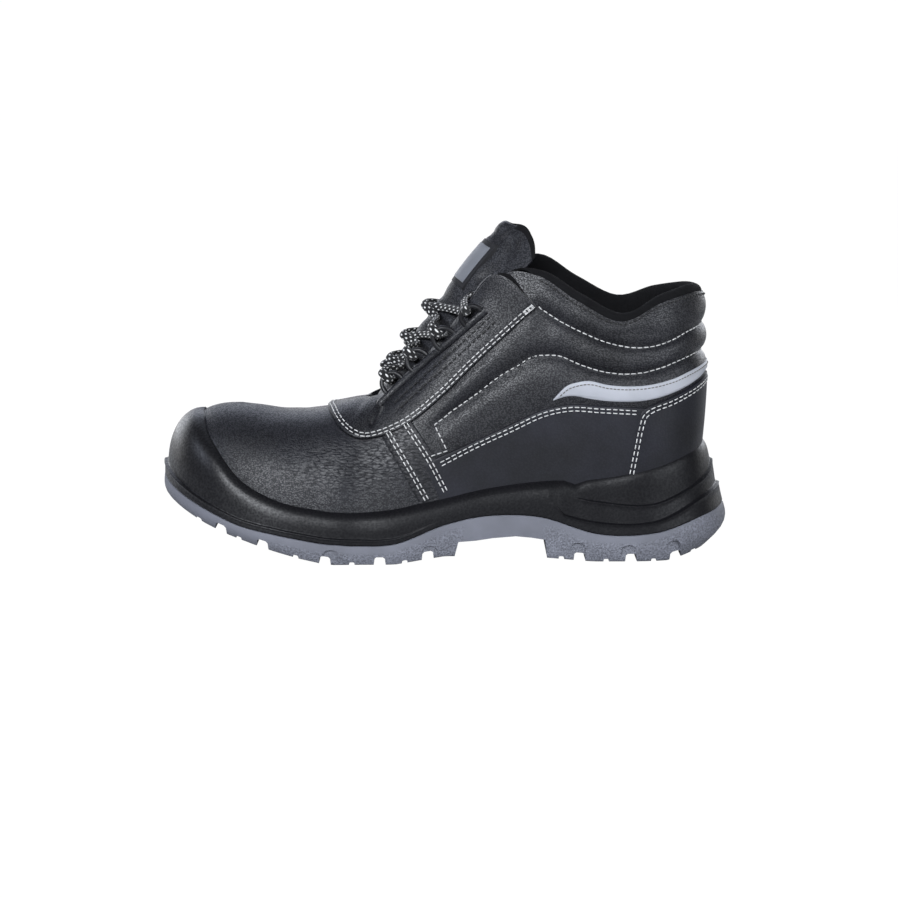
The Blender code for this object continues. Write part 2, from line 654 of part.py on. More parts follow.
def between(side, low, high, steps_along, steps_up):
    """Sections and heights on a grid between two edges that are rows of (x, z) seen from the side."""
    share = np.linspace(0, 1, steps_along)
    edges = []
    for rows in (low, high):
        rows = np.asarray(rows, float)
        at = np.linspace(0, 1, len(rows))
        edges.append(np.stack([smooth(at, rows[:, 0], share), smooth(at, rows[:, 1], share)], -1))
    mix = np.linspace(0, 1, steps_up)[None, :, None]
    grid = edges[0][:, None] * (1 - mix) + edges[1][:, None] * mix
    return locate(side, grid[..., 0], grid[..., 1]) * side, grid[..., 1]


def above_cup(side, rows, lift):
    """Rows of (x, z) that follow the midsole's upper edge, a little above it."""
    edge = []
    for x in rows:
        t = STATIONS
        line = skin(side, t, level(side, t, column(SECTIONS, "cup", t)))
        at = np.interp(x, line[:, 0], t)
        edge.append((x, float(column(SECTIONS, "cup", at)) + lift))
    return edge


def side_overlays():
    """The layers that both sides carry: lower quarter, vamp band and facing."""
    for side, word in ((LATERAL, "outer"), (MEDIAL, "inner")):
        low = above_cup(side, np.linspace(*QUARTER_FOOT, len(QUARTER_TOP)), 1.4)
        overlay(f"quarter_panel_{word}", between(side, low, QUARTER_TOP, 9, 4), REST, OVERLAY, LEATHER)
        overlay(f"vamp_band_{word}", between(side, BAND_REAR, BAND_FRONT, 6, 3), REST, OVERLAY, LEATHER)
        overlay(f"facing_{word}", facing_grid(side), REST, OVERLAY, LEATHER)


def section_meets(side, t, rows):
    """The level at which the section at t meets a line of (x, z) rows seen from the side."""
    rows = sorted(rows)
    v = np.linspace(0.0, 1.0, 401)
    points = skin(side, t, v)
    over = points[:, 2] - np.interp(points[:, 0], [row[0] for row in rows], [row[1] for row in rows])
    return v[np.argmax(over > 0)] if (over > 0).any() else 1.0


def facing_grid(side):
    """Sections and heights from the facing's sewn lower edge up to its free edge at the throat."""
    t = np.array([5.3] + [place for place in STATIONS if 5.4 < place < THROAT_FRONT - 1.2])
    low = np.array([section_meets(side, place, FACING_LOW) for place in t])
    high = np.array([min(0.985, section_meets(side, place, FLAP_TOP)) for place in t])
    mix = np.linspace(0, 1, 4)[None, :]
    v = low[:, None] * (1 - mix) + np.maximum(high, low + 0.02)[:, None] * mix
    return np.repeat(t[:, None], 4, 1) * side, skin(side, np.repeat(t[:, None], 4, 1), v)[..., 2]


def round_heel(rows, back, t):
    """Heights at the sections t, negative on the inner side, of a line of (x, z) rows that ends at the back."""
    heights = np.empty_like(t)
    for side in (LATERAL, MEDIAL):
        places = [(float(locate(side, x, z)), z) for x, z in rows] + [(0.0, back)]
        places.sort()
        here = np.abs(t[np.sign(t) != -side])
        heights[np.sign(t) != -side] = smooth([p[0] for p in places], [p[1] for p in places], here)
    return heights


def reflective_strip():
    """The strip that runs round the heel from side to side, under the padded collar."""
    front = [float(locate(side, *STRIP_TOP[0])) for side in (LATERAL, MEDIAL)]
    t = np.concatenate([np.linspace(front[0], 0, 14), -np.linspace(0, front[1], 14)[1:]])
    top, low = round_heel(STRIP_TOP, STRIP_BACK[1], t), round_heel(STRIP_LOW, STRIP_BACK[0], t)
    grid_t = np.stack([t, t])
    return overlay("reflective_strip", (grid_t, np.stack([np.minimum(low, top - 0.8), top])), REST, STRIP,
                   REFLECTIVE)


def counter():
    """The heel counter, which wraps round the heel from side to side."""
    front = np.asarray(COUNTER_FRONT, float)
    heights = np.linspace(0, 1, 5)
    rows_t, rows_z = [], []
    for share in heights:
        at = np.linspace(0, 1, len(front))
        x, z = float(smooth(at, front[:, 0], share)), float(smooth(at, front[:, 1], share))
        outer = float(locate(LATERAL, x, z))
        inner = float(locate(MEDIAL, x, z))
        t = np.concatenate([np.linspace(outer, 0, 8), -np.linspace(0, inner, 8)[1:]])
        low = column(SECTIONS, "cup", np.abs(t)) + 1.4
        high = smooth([row[0] for row in COUNTER_TOP], [row[1] for row in COUNTER_TOP], np.abs(t))
        rows_t.append(t)
        rows_z.append(low * (1 - share) + high * share)
    return overlay("heel_counter", (np.array(rows_t), np.array(rows_z)), REST, OVERLAY, LEATHER)


# Lace and its loops

def loop_frame(side, x, z):
    """A place on the facing with its directions along the throat, inwards and out of the leather."""
    t = float(locate(side, x, z))
    v = float(level(side, t, z))
    place, out = skin(side, t, v), normal(side, t, v)
    along = np.array([THROAT_WAY[0], 0.0, THROAT_WAY[1]])
    along -= out * (along @ out)
    along /= np.linalg.norm(along)
    inwards = np.cross(out, along) * side
    return place + out * (REST + OVERLAY + GAP + LOOP_BAR), along, inwards, out


def loop_shape(side, x, z):
    """The closed middle line of a lace loop, its directions along the throat and of reach, and its far bar."""
    base, along, inwards, out = loop_frame(side, x, z)
    reach = inwards * math.cos(LOOP_LEAN) + out * math.sin(LOOP_LEAN)
    half, far = LOOP_LENGTH / 2 - LOOP_BAR, LOOP_REACH - 2 * LOOP_BAR
    line = [base + along * half * share for share in (-1.0, -0.35, 0.35, 1.0)]
    for turn in np.radians([22, 55, 90, 125, 158]):
        line.append(base + along * half * math.cos(turn) + reach * far * math.sin(turn) ** 0.7)
    return np.array(line), along, reach, base + reach * far


def lace_loops():
    """Four moulded loops along each facing."""
    for side, word in ((LATERAL, "outer"), (MEDIAL, "inner")):
        for number, (x, z) in enumerate(LOOPS):
            line, along, reach, _ = loop_shape(side, x, z)
            flat = np.tile(np.cross(along, reach), (len(line), 1))
            swept(f"lace_loop_{word}_{number + 1}", line, flat, LOOP_BAR, LOOP_BAR, 6, PLASTIC, closed=True)


def turn_round(side, number):
    """The lace's points round the far bar of a loop: inside the loop, outside the bar and over it."""
    _, along, reach, bar = loop_shape(side, *LOOPS[number])
    away = np.cross(along, reach) * side
    clear = LOOP_BAR + LACE_THICK / 2 + 4 * GAP
    return [bar - reach * clear, bar + away * clear, bar + reach * clear]


def on_tongue(z, y, lift):
    """A point over the tongue where its middle is at height z."""
    rows = np.linspace(0, 1, 200)
    s = np.interp(z, fold("z", rows), rows)
    return tongue_point(s, y / fold("half", s), lift)


def crossing(start_side, number, lift):
    """The lace from one loop over the tongue to the next loop up on the other side."""
    low, middle, high = LOOPS[number][1] + CROSS_RISE, CROSSINGS[number], LOOPS[number + 1][1] + CROSS_RISE
    near = LACE_THICK / 2 + 5 * GAP
    return [on_tongue(low * 0.45 + middle * 0.55, start_side * 11, near + lift / 3),
            on_tongue(middle, 0.0, near + lift),
            on_tongue(high * 0.45 + middle * 0.55, -start_side * 11, near + lift / 3)]


def lace():
    """The lace, crossed between the loops from a straight bar at the lowest pair, its ends at the top pair."""
    halves = []
    for start in (LATERAL, MEDIAL):
        path, side = [on_tongue(LACE_START, 0.0, LACE_THICK / 2 + 5 * GAP)], start
        path.append(on_tongue(LACE_START - 1, start * 9, LACE_THICK / 2 + 5 * GAP))
        for number in range(LOOP_COUNT):
            path += turn_round(side, number)
            if number + 1 < LOOP_COUNT:
                over = (number % 2 == 0) == (start == LATERAL)
                path += crossing(side, number, LACE_THICK + GAP if over else 0.0)
                side = -side
        halves.append(path)
    route = np.array(halves[0][:0:-1] + halves[1])
    at = np.arange(len(route))
    fine = np.linspace(0, len(route) - 1, 2 * len(route) - 1)
    line = np.stack([smooth(at, route[:, axis], fine) for axis in range(3)], -1)
    way = np.tile([THROAT_WAY[0], 0.0, THROAT_WAY[1]], (len(line), 1))
    return swept("lace", line, way, LACE_WIDTH / 2, LACE_THICK / 2, 6, CORD)


def build():
    """Every piece of the shoe."""
    for old in list(bpy.data.objects):
        bpy.data.objects.remove(old, do_unlink=True)
    outsole()
    midsole()
    insole()
    upper()
    tongue()
    label()
    side_overlays()
    reflective_strip()
    counter()
    lace_loops()
    lace()


build()
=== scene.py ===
"""Looks of a high-top safety shoe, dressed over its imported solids.

Laid out as an add-on and run as a script. Tables are in millimetres, with the toe along +X, the outer side
of this left shoe along +Y and up along +Z.
"""

import json
import math
from collections import namedtuple

import bpy
import numpy as np
from bpy.props import FloatProperty, FloatVectorProperty, PointerProperty
from bpy.types import Operator, Panel, PropertyGroup
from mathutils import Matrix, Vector
from mathutils.bvhtree import BVHTree

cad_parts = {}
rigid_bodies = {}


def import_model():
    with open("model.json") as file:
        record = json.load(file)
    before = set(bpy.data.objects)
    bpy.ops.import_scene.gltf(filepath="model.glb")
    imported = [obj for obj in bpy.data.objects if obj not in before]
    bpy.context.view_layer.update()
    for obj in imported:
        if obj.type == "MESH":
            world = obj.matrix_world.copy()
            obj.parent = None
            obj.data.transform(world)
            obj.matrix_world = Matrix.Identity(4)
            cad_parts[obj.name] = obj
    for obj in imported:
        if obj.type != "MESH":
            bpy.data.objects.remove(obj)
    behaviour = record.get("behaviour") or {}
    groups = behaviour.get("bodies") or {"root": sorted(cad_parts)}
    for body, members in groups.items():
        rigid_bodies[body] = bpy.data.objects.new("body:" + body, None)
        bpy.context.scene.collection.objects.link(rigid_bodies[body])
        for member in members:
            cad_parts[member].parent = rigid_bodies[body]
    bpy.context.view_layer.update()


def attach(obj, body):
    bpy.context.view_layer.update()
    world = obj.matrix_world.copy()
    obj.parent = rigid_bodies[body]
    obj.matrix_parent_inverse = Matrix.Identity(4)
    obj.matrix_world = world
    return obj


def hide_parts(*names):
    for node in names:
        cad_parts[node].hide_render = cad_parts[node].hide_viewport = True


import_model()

bl_info = {
    "name": "High-top safety shoe",
    "version": (1, 0, 0),
    "blender": (4, 5, 0),
    "location": "View3D > Sidebar > Shoe",
    "description": "Dresses the solids of a high-top safety shoe",
    "category": "Object",
}

MM = 0.001
LATERAL, MEDIAL = 1, -1
SIDES_BOTH = ((LATERAL, "outer"), (MEDIAL, "inner"))

# Fit of the layers: how deep a panel's edge sits in the leather, the plain wall, the insole's thickness
SINK, WALL, INSOLE = 0.45, 2.6, 4.0

# Sewn channels of the padding: their depths, the sections over which they fade out, the levels over which the
# wall swells into padding, the share and width of a channel's narrow and broad part
CHANNEL_LOW, CHANNEL_HIGH = 2.4, 1.8
LOW_FADE, HIGH_FADE, HIGH_END, HIGH_DROP = (5.9, 6.5), (4.4, 4.9), (6, 7), 0.8
PAD_LEVELS = (0.5, 0.74)
VALLEY = ((0.45, 2.0), (0.55, 6.5))

# Share of the full swelling and last section of each roll, from the lowest up, and the sections it fades over
ROLLS, ROLL_FADE = ((0.8, 6.4), (1.0, 6.6), (0.9, 5.2)), 0.8

# One row for each section of the upper, from the middle of the heel round one side to the tip of the toe
Section = namedtuple("Section", "name foot_x outer inner top_x gap top_z rise roll square swell pad cup")
SECTIONS = [
    Section("heel_back", -133, 0, 0, -137, 0, 139.5, 0, 30, 2.0, 4.0, 9.0, 61.0),
    Section("heel_corner", -127, 21, -20, -130.5, 18, 139.8, 0, 30, 2.0, 4.0, 9.0, 56.5),
    Section("heel_side", -108, 33.5, -31.5, -113, 32, 135, 1.5, 30, 2.0, 3.5, 9.0, 49.0),
    Section("ankle", -80, 35.5, -31.5, -92, 37, 125.7, 5, 30, 2.0, 1.5, 9.0, 43.5),
    Section("quarter", -50, 37, -31, -69, 36.5, 136.5, 5, 32, 2.0, 0.0, 9.0, 42.3),
    Section("collar_front", -22, 40, -33.5, -48, 33, 149.5, 5, 35, 2.0, -1.0, 8.0, 38.8),
    Section("facing_top", 2, 44, -38, -27, 28.5, 147.5, 0, 40, 2.0, -2.0, 4.0, 33.5),
    Section("facing_mid", 26, 48, -43.5, 5, 24, 110, 0, 50, 2.05, -2.0, 2.6, 28.3),
    Section("facing_low", 46, 49.2, -47, 27, 18.5, 88.5, 0, 62, 2.1, -1.0, 2.6, 26.5),
    Section("throat_corner", 56, 49.8, -48.6, 37.5, 12, 82.5, 0, 76, 2.2, 0.0, 2.6, 26.8),
    Section("throat_front", 65, 49.7, -49.7, 42, 0, 81, 0, 90, 2.25, 0.0, 2.6, 27.7),
    Section("vamp", 86, 48.3, -49.9, 62, 0, 77.4, 0, 90, 2.3, 0.0, 2.6, 32.0),
    Section("toe_back", 106, 44.2, -47.2, 82, 0, 76.8, 0, 90, 2.4, 0.0, 2.6, 42.0),
    Section("toe_side", 123, 36, -41, 96, 0, 78.6, 0, 90, 2.45, 0.0, 2.6, 59.0),
    Section("toe_corner", 136.5, 20, -27, 104.5, 0, 79.6, 0, 90, 2.5, 0.0, 2.6, 72.0),
    Section("toe_tip", 143, -4, -4, 108, 0, 80, 0, 90, 2.5, 0.0, 2.6, 76.3),
]
HEEL_END, THROAT_FRONT, TOE_START = 2, 10, 12
TOE_TIP = len(SECTIONS) - 1

# Seams that draw the padding in, and its lower edge, as rows of (section, height)
SEAM_LOW = [(0, 109.0), (0.75, 107.9), (1.33, 105.1), (1.86, 101.2), (2.31, 98.7), (2.75, 98.1),
            (3.17, 99.6), (3.58, 103.0), (3.97, 107.4), (4.24, 107.9), (4.49, 106.9), (4.72, 102.3),
            (4.96, 98.2), (5.47, 87.3), (6.04, 77.1), (6.31, 72.0), (15, 71.8)]
SEAM_HIGH = [(0, 124.0), (1.2, 119.2), (1.66, 115.2), (2.03, 112.8), (2.45, 111.8), (2.87, 112.8),
             (3.31, 115.7), (3.74, 120.4), (4.18, 125.8), (4.6, 131.8), (4.74, 133.6), (4.88, 128.6),
             (5.2, 116.9), (5.71, 102.4), (6.25, 86.8), (6.91, 72.4), (15, 72.4)]
PAD_FOOT = [(0, 97.0), (2.15, 80.6), (3.07, 81.7), (3.6, 82.5), (4.06, 79.9), (4.71, 71.1), (5.44, 62.4),
            (6.17, 54.8), (15, 54.0)]

# The sole's side at the same sections
Side = namedtuple("Side", "rib_high rib_low seam overhang step_high step_low tuck belly")
SIDES = [
    Side(51.0, 39.0, 27.2, 15.5, 1.3, 1.6, 9.0, 2.2),
    Side(41.0, 32.5, 23.0, 12.5, 1.3, 1.6, 6.0, 1.8),
    Side(30.0, 21.0, 15.0, 9.0, 1.3, 1.5, 2.5, 0.8),
    Side(31.5, 20.8, 14.6, 7.8, 1.2, 1.4, 1.5, 0.5),
    Side(37.0, 27.5, 23.5, 6.8, 1.2, 1.3, 1.5, 0.3),
    Side(33.0, 27.5, 24.6, 6.3, 0.0, 0.0, 1.5, 0.3),
    Side(28.0, 23.0, 20.0, 6.3, 0.0, 0.0, 1.5, 0.3),
    Side(20.0, 14.2, 11.0, 6.3, 0.0, 0.5, 1.5, 0.4),
    Side(18.5, 13.4, 10.0, 6.2, 0.0, 0.9, 1.5, 0.4),
    Side(18.5, 13.8, 10.6, 6.2, 0.0, 0.9, 1.5, 0.4),
    Side(19.5, 14.8, 11.4, 6.2, 0.0, 0.9, 1.5, 0.4),
    Side(23.5, 18.7, 15.3, 6.2, 0.0, 0.9, 1.8, 0.4),
    Side(31.0, 23.8, 20.2, 6.3, 0.0, 0.9, 2.2, 0.5),
    Side(44.0, 32.6, 28.3, 6.6, 0.0, 1.2, 3.0, 0.6),
    Side(56.0, 42.2, 36.5, 7.0, 0.0, 1.5, 4.0, 0.8),
    Side(61.0, 49.6, 42.8, 6.9, 0.0, 1.7, 4.5, 0.6),
]
BED = [(-145, 35), (-100, 32), (-60, 32), (-37, 31), (0, 25), (30, 18.5), (50, 17.5), (75, 20),
       (100, 27), (126, 36.5), (145, 45)]
TREAD = [(-152, 18), (-146, 11.5), (-141, 8), (-135, 4.6), (-126, 2), (-117, 0), (-78, 0), (-66, 1),
         (-54, 2), (0, 3.8), (14, 1.8), (26, 0), (58, 0), (64, 0.6), (75, 3), (88, 6.5), (100, 10.3),
         (113, 14.7), (126, 20), (136, 24.8), (146, 29.5), (152, 37)]
ARCH = [(-52.5, 11.8), (-45, 13), (-37, 13.8), (-25, 13), (-16, 11.8), (-7, 11.3)]
ARCH_FOOT = (-54.5, -2.0)
GROOVES = [117, 95, 62.5, 34, 9, -70.5, -97.5, -121]
GROOVE_DEPTH, GROOVE_WIDTH, GROOVE_SLANT, GROOVE_BEND, GROOVE_END = 4.2, 5.5, 14.0, 14.0, 75.0

# The tongue's middle line and section
Fold = namedtuple("Fold", "x z half drop thick")
TONGUE = [
    Fold(47.0, 72.0, 16, 8.0, 3.0),
    Fold(42.3, 75.3, 19, 12.0, 4.0),
    Fold(37.8, 80.4, 22.5, 18.0, 5.0),
    Fold(33.0, 89.0, 25, 20.5, 7.0),
    Fold(17.5, 115, 25.5, 23.0, 9.0),
    Fold(4.0, 134, 25.5, 24.0, 9.0),
    Fold(-12.0, 156, 25, 25.0, 9.0),
    Fold(-29.5, 176, 28, 24.0, 5.0),
]
TONGUE_POWER, TONGUE_EDGE = 1.6, 2.4
TONGUE_END = [(0, 2.5), (0.3, 3.4), (0.62, 6.6), (0.85, 4.0), (1.0, -1.0)]

# Lace loops along each facing, and the lace's crossings on the tongue
LOOPS = [(24, 88.5), (10.5, 101), (-3, 113.5), (-16, 126)]
LOOP_LENGTH, LOOP_REACH, LOOP_LEAN = 14.0, 11.0, math.radians(48)
THROAT_WAY = (-0.73, 0.68)
LACE_START, CROSSINGS, CROSS_RISE = 95.0, (102, 114, 130), 13.0
LACE_ENDS = [(144.0, 17, 0.8), (151.0, 22.5, 0.0)]
LACE_CLEAR, LACE_POINTS = 0.5, 900

# Edges of the sewn panels, as rows of (x, z) seen from the side
BAND_REAR = [(21.0, 78.0), (17.8, 74.0), (5.3, 55.3), (-3.9, 38.5), (-8.0, 31.0)]
BAND_FRONT = [(37.0, 72.0), (33.1, 64.9), (23.1, 48.0), (13.3, 30.3), (9.0, 22.0)]
FACING_EDGE = [(-48.0, 133.2), (-30.2, 116.9), (-14.5, 102.4), (1.1, 86.8), (18.4, 72.4), (29.7, 66.5),
               (35.5, 64.8), (43.3, 63.7), (49.7, 65.2), (55.0, 68.9), (58.3, 73.7), (61.0, 76.6),
               (62.4, 77.6)]
FACING_END = 6.0
QUARTER_TOP = [(11.0, 52.0), (4.7, 54.8), (-13.1, 62.4), (-32.4, 71.1), (-52.2, 79.9), (-65.8, 82.5),
               (-81.4, 81.7), (-106.0, 80.6)]
COUNTER_TOP = [(-101.2, 75.0), (-102.6, 78.6), (-106.2, 81.2), (-117.2, 85.4), (-129.8, 91.3),
               (-139.0, 97.0)]
STRIP_TOP = [(-56.2, 84.6), (-59.0, 87.8), (-63.7, 92.2), (-69.2, 94.0), (-75.4, 94.6), (-84.5, 92.6),
             (-93.4, 91.8), (-104.9, 92.2), (-118.7, 95.2), (-128.0, 98.8), (-137.2, 102.6),
             (-139.0, 103.6)]
STRIP_LOW = [(-56.0, 84.0), (-62.2, 86.2), (-67.4, 86.7), (-75.5, 85.3), (-84.6, 84.1), (-93.5, 83.7),
             (-103.4, 84.2), (-114.5, 86.5), (-124.5, 90.2), (-133.3, 95.1), (-137.2, 98.6),
             (-139.0, 99.6)]

# Seams in the same view: offsets of the rows, share of the usual stitch, thread
Seam = namedtuple("Seam", "offsets pitch thread points")
DOUBLE = (-1.0, 1.0)
SEAM_POINTS, SEAM_RIDGE, RIM_LEVEL = 400, 60.0, 0.983
SEAMS = [
    Seam(DOUBLE, 1.0, "white", [(29.6, 67.8), (19.2, 50.3), (9.4, 32.6)]),
    Seam(DOUBLE, 1.0, "white", [(20.6, 72.4), (8.7, 54.0), (-0.3, 36.9)]),
    Seam(DOUBLE, 1.0, "white", [(59.4, 77.8), (58.6, 77.2), (56.8, 74.8), (52.4, 69.9), (46.5, 66.4),
                                (41.8, 65.4), (35.6, 66.6), (19.9, 74.0), (2.6, 88.4), (-13.0, 104.0),
                                (-28.7, 118.5), (-45.8, 134.0)]),
    Seam((-1.0, -0.4, 0.4, 1.0), 0.6, "white", [(-41.0, 129.6), (-46.0, 134.3)]),
    Seam(DOUBLE, 1.0, "white", [(2.6, 51.3), (-14.1, 59.9), (-33.3, 68.6), (-52.6, 77.3), (-65.8, 79.9),
                                (-81.4, 79.1), (-100.6, 78.2)]),
    Seam(DOUBLE, 1.0, "white", [(-97.6, 45.2), (-100.0, 57.6), (-102.5, 70.0), (-104.4, 76.0),
                                (-107.6, 78.9), (-118.0, 82.8), (-130.0, 88.5), (-139.0, 94.2)]),
    Seam((0,), 0.6, "beige", [(-60.0, 86.6), (-64.6, 90.4), (-69.4, 92.1), (-75.4, 92.7), (-84.5, 90.8),
                              (-93.4, 90.0), (-104.9, 90.5), (-118.7, 93.5), (-128.0, 97.1),
                              (-139.0, 102.0)]),
    Seam((0,), 1.0, "black", [(25.6, 81.6), (-24.2, 128.0)]),
    Seam((0,), 1.0, "black", [(23.2, 79.1), (-26.6, 125.5)]),
    Seam((0,), 1.0, "white", [(-1.6, 77.1), (4.9, 72.4), (5.6, 72.0), (5.2, 71.2), (-0.7, 59.2),
                              (-1.1, 58.4), (-0.2, 58.1), (7.8, 55.6)]),
]


# Settings

def length(name, text, default):
    """A length that a user may change, in metres."""
    return FloatProperty(name=name, description=text, default=default, min=0.0, unit="LENGTH", precision=5)


def colour(name, text, default):
    """A colour that a user may change."""
    return FloatVectorProperty(name=name, description=text, default=default, size=3, min=0.0, max=1.0,
                               subtype="COLOR")


class ShoeSizes(PropertyGroup):
    """Sizes of the dressed layers."""

    leather: length("Leather", "Thickness of the upper's leather", 0.0018)
    panel: length("Panel", "How far the heel counter and vamp bands stand out", 0.0015)
    facing: length("Facing", "How far the facing stands out", 0.0021)
    quarter: length("Lower quarter", "How far the lower quarter stands out", 0.0013)
    strip: length("Strip", "How far the reflective strip stands out", 0.0006)
    edge: length("Cut edge", "Radius of a panel's cut edge", 0.0006)
    puff: length("Padding", "How far the collar swells between its sewn channels", 0.0016)
    thread: length("Thread", "Width of the sewing thread", 0.0006)
    stitch: length("Stitch", "Length of one stitch from hole to hole", 0.0033)
    row_gap: length("Rows", "Distance between the rows of a double seam", 0.0019)
    lace_width: length("Lace width", "Width of the lace", 0.0046)
    lace_thick: length("Lace thickness", "Thickness of the lace", 0.0028)
    loop_bar: length("Loop bar", "Thickness of a lace loop's bar", 0.0025)
    coarse_grain: length("Coarse grain", "Size of the pebbles on the vamp", 0.0014)
    fine_grain: length("Fine grain", "Size of the pebbles on the padded quarters", 0.0008)


class ShoeColours(PropertyGroup):
    """Colours of the finishes."""

    leather: colour("Leather", "Black leather", (0.0075, 0.0078, 0.0105))
    smooth: colour("Smooth leather", "Lower quarter and counter", (0.0065, 0.0068, 0.0105))
    midsole: colour("Midsole", "Black moulded sole", (0.0075, 0.0075, 0.009))
    outsole: colour("Outsole", "Grey moulded sole", (0.184, 0.191, 0.225))
    lining: colour("Lining", "Textile lining and collar edge", (0.008, 0.008, 0.009))
    strip: colour("Strip", "Reflective strip", (0.44, 0.455, 0.5))
    patch: colour("Patch", "Bare tongue label", (0.19, 0.20, 0.225))
    white_thread: colour("White thread", "Thread of the white seams", (0.72, 0.72, 0.71))
    beige_thread: colour("Beige thread", "Thread of the reflective strip", (0.15, 0.14, 0.12))
    black_thread: colour("Black thread", "Thread of the black seams", (0.004, 0.004, 0.0045))
    # Lighter than the leather, laid along the facing's edge as a painted highlight
    cut: colour("Cut leather", "Raw edge of the facing", (0.1, 0.1, 0.104))
    lace: colour("Lace", "Black of the lace", (0.007, 0.007, 0.008))
    fleck: colour("Fleck", "White flecks of the lace", (0.85, 0.85, 0.84))
    loops: colour("Loops", "Moulded lace loops", (0.010, 0.010, 0.012))
    floor: colour("Floor", "Studio floor", (0.55, 0.55, 0.55))


def sizes():
    """The chosen sizes."""
    return bpy.context.scene.shoe_sizes


def mm(name):
    """A chosen size in millimetres."""
    return getattr(sizes(), name) / MM


def colours():
    """The chosen colours."""
    return bpy.context.scene.shoe_colours


# Curves through tables

def smooth(knots, values, at, level_ends=False):
    """A smooth curve through (knots, values), read at the given places."""
    knots, values = np.asarray(knots, float), np.asarray(values, float)
    at = np.clip(np.asarray(at, float), knots[0], knots[-1])
    chord = np.diff(values) / np.diff(knots)
    slope = np.concatenate([chord[:1], (chord[1:] + chord[:-1]) / 2, chord[-1:]])
    if level_ends:
        slope[0] = slope[-1] = 0.0
    i = np.clip(np.searchsorted(knots, at, side="right") - 1, 0, len(knots) - 2)
    span = knots[i + 1] - knots[i]
    u = (at - knots[i]) / span
    start, end = values[i], values[i + 1]
    return (start + u * u * (3 - 2 * u) * (end - start)
            + span * u * (1 - u) * ((1 - u) * slope[i] - u * slope[i + 1]))


def column(rows, name, t, level_ends=False):
    """A named column of a table with one row for each section, read smoothly at t."""
    return smooth(range(len(rows)), [getattr(row, name) for row in rows], t, level_ends)


def height(rows, x):
    """The height at x of a table of (x, z) rows."""
    return smooth([row[0] for row in rows], [row[1] for row in rows], x)


def tread_height(x):
    """The lowest line of the tread."""
    return np.interp(x, [row[0] for row in TREAD], [row[1] for row in TREAD])


def ease(low, high, x):
    """0 below low, 1 above high and a smooth step between them."""
    u = np.clip((np.asarray(x, float) - low) / (high - low), 0.0, 1.0)
    return u * u * (3 - 2 * u)


def unit(vectors):
    """Vectors of length one."""
    return vectors / np.maximum(np.linalg.norm(vectors, axis=-1, keepdims=True), 1e-12)


# The last: the outer face of the upper as a function of side, section t and level v

def foot_point(side, t):
    """A point of the insole edge, on the insole board."""
    x = column(SECTIONS, "foot_x", t, level_ends=True)
    y = column(SECTIONS, "outer" if side == LATERAL else "inner", t)
    return np.stack([x, y, height(BED, x)], -1)


def outward(side, t):
    """The level direction that points out of the insole edge."""
    step = 0.02
    along = foot_point(side, np.minimum(t + step, TOE_TIP)) - foot_point(side, np.maximum(t - step, 0.0))
    aside = np.where(np.asarray(t) <= 0.0, 0.0, along[..., 0])
    return unit(np.stack([-along[..., 1], aside, np.zeros_like(aside)], -1) * side)


def top_point(side, t):
    """A point of the top line: the collar, the facing's edge, then the ridge of the vamp."""
    x = column(SECTIONS, "top_x", t, level_ends=True)
    open_rows = SECTIONS[:THROAT_FRONT + 1]
    gap = np.where(t < THROAT_FRONT, column(open_rows, "gap", np.minimum(t, THROAT_FRONT)), 0.0)
    z = column(SECTIONS, "top_z", t, level_ends=True)
    if side == MEDIAL:
        z = z + column(SECTIONS, "rise", t, level_ends=True)
    return np.stack([x, side * np.maximum(gap, 0.0), z], -1)


def rolled(t):
    """How far a section leans over at its top, and the power of its corner."""
    roll = np.radians(np.clip(column(SECTIONS, "roll", t), 5.0, 90.0))
    return roll, 2.0 / column(SECTIONS, "square", t)


def level(side, t, z):
    """The level v at which the outer face reaches height z."""
    foot, top = foot_point(side, t), top_point(side, t)
    roll, power = rolled(t)
    share = np.clip((z - foot[..., 2]) / (top[..., 2] - foot[..., 2]), 0.0, 1.0)
    return np.arcsin(np.clip(share ** (1 / power) * np.sin(roll), -1, 1)) / roll


def level_at(side, t, rows):
    """The level v of a line of (section, height) rows."""
    return level(side, t, height(rows, t))


def valley(away):
    """The shape across a sewn channel, by the distance from its seam."""
    return sum(share * np.exp(-(away / wide) ** 2) for share, wide in VALLEY)


def quilting(side, t, v):
    """How far the padded collar draws in at its two sewn channels."""
    tall = top_point(side, t)[..., 2] - foot_point(side, t)[..., 2]
    low = valley((v - level_at(side, t, SEAM_LOW)) * tall) * (1 - ease(*LOW_FADE, t))
    high = valley((v - level_at(side, t, SEAM_HIGH)) * tall)
    high = high * (1 - HIGH_DROP * ease(*HIGH_FADE, t)) * (1 - ease(*HIGH_END, t))
    return CHANNEL_LOW * low + CHANNEL_HIGH * high


def skin(side, t, v):
    """A point of the upper's plain outer face: v is 0 on the insole edge and 1 on the top line."""
    t, v = np.broadcast_arrays(np.asarray(t, float), np.asarray(v, float))
    foot, top = foot_point(side, t), top_point(side, t)
    roll, power = rolled(t)
    over = (1 - np.clip(np.cos(v * roll), 0, 1) ** power) / (1 - np.clip(np.cos(roll), 0, 1) ** power)
    up = (np.sin(v * roll) / np.sin(roll)) ** power
    point = foot.copy()
    point[..., :2] += (top - foot)[..., :2] * over[..., None]
    point[..., 2] += (top - foot)[..., 2] * up
    swell = column(SECTIONS, "swell", t) * np.sin(np.pi * v) - quilting(side, t, v)
    return point + outward(side, t) * swell[..., None]


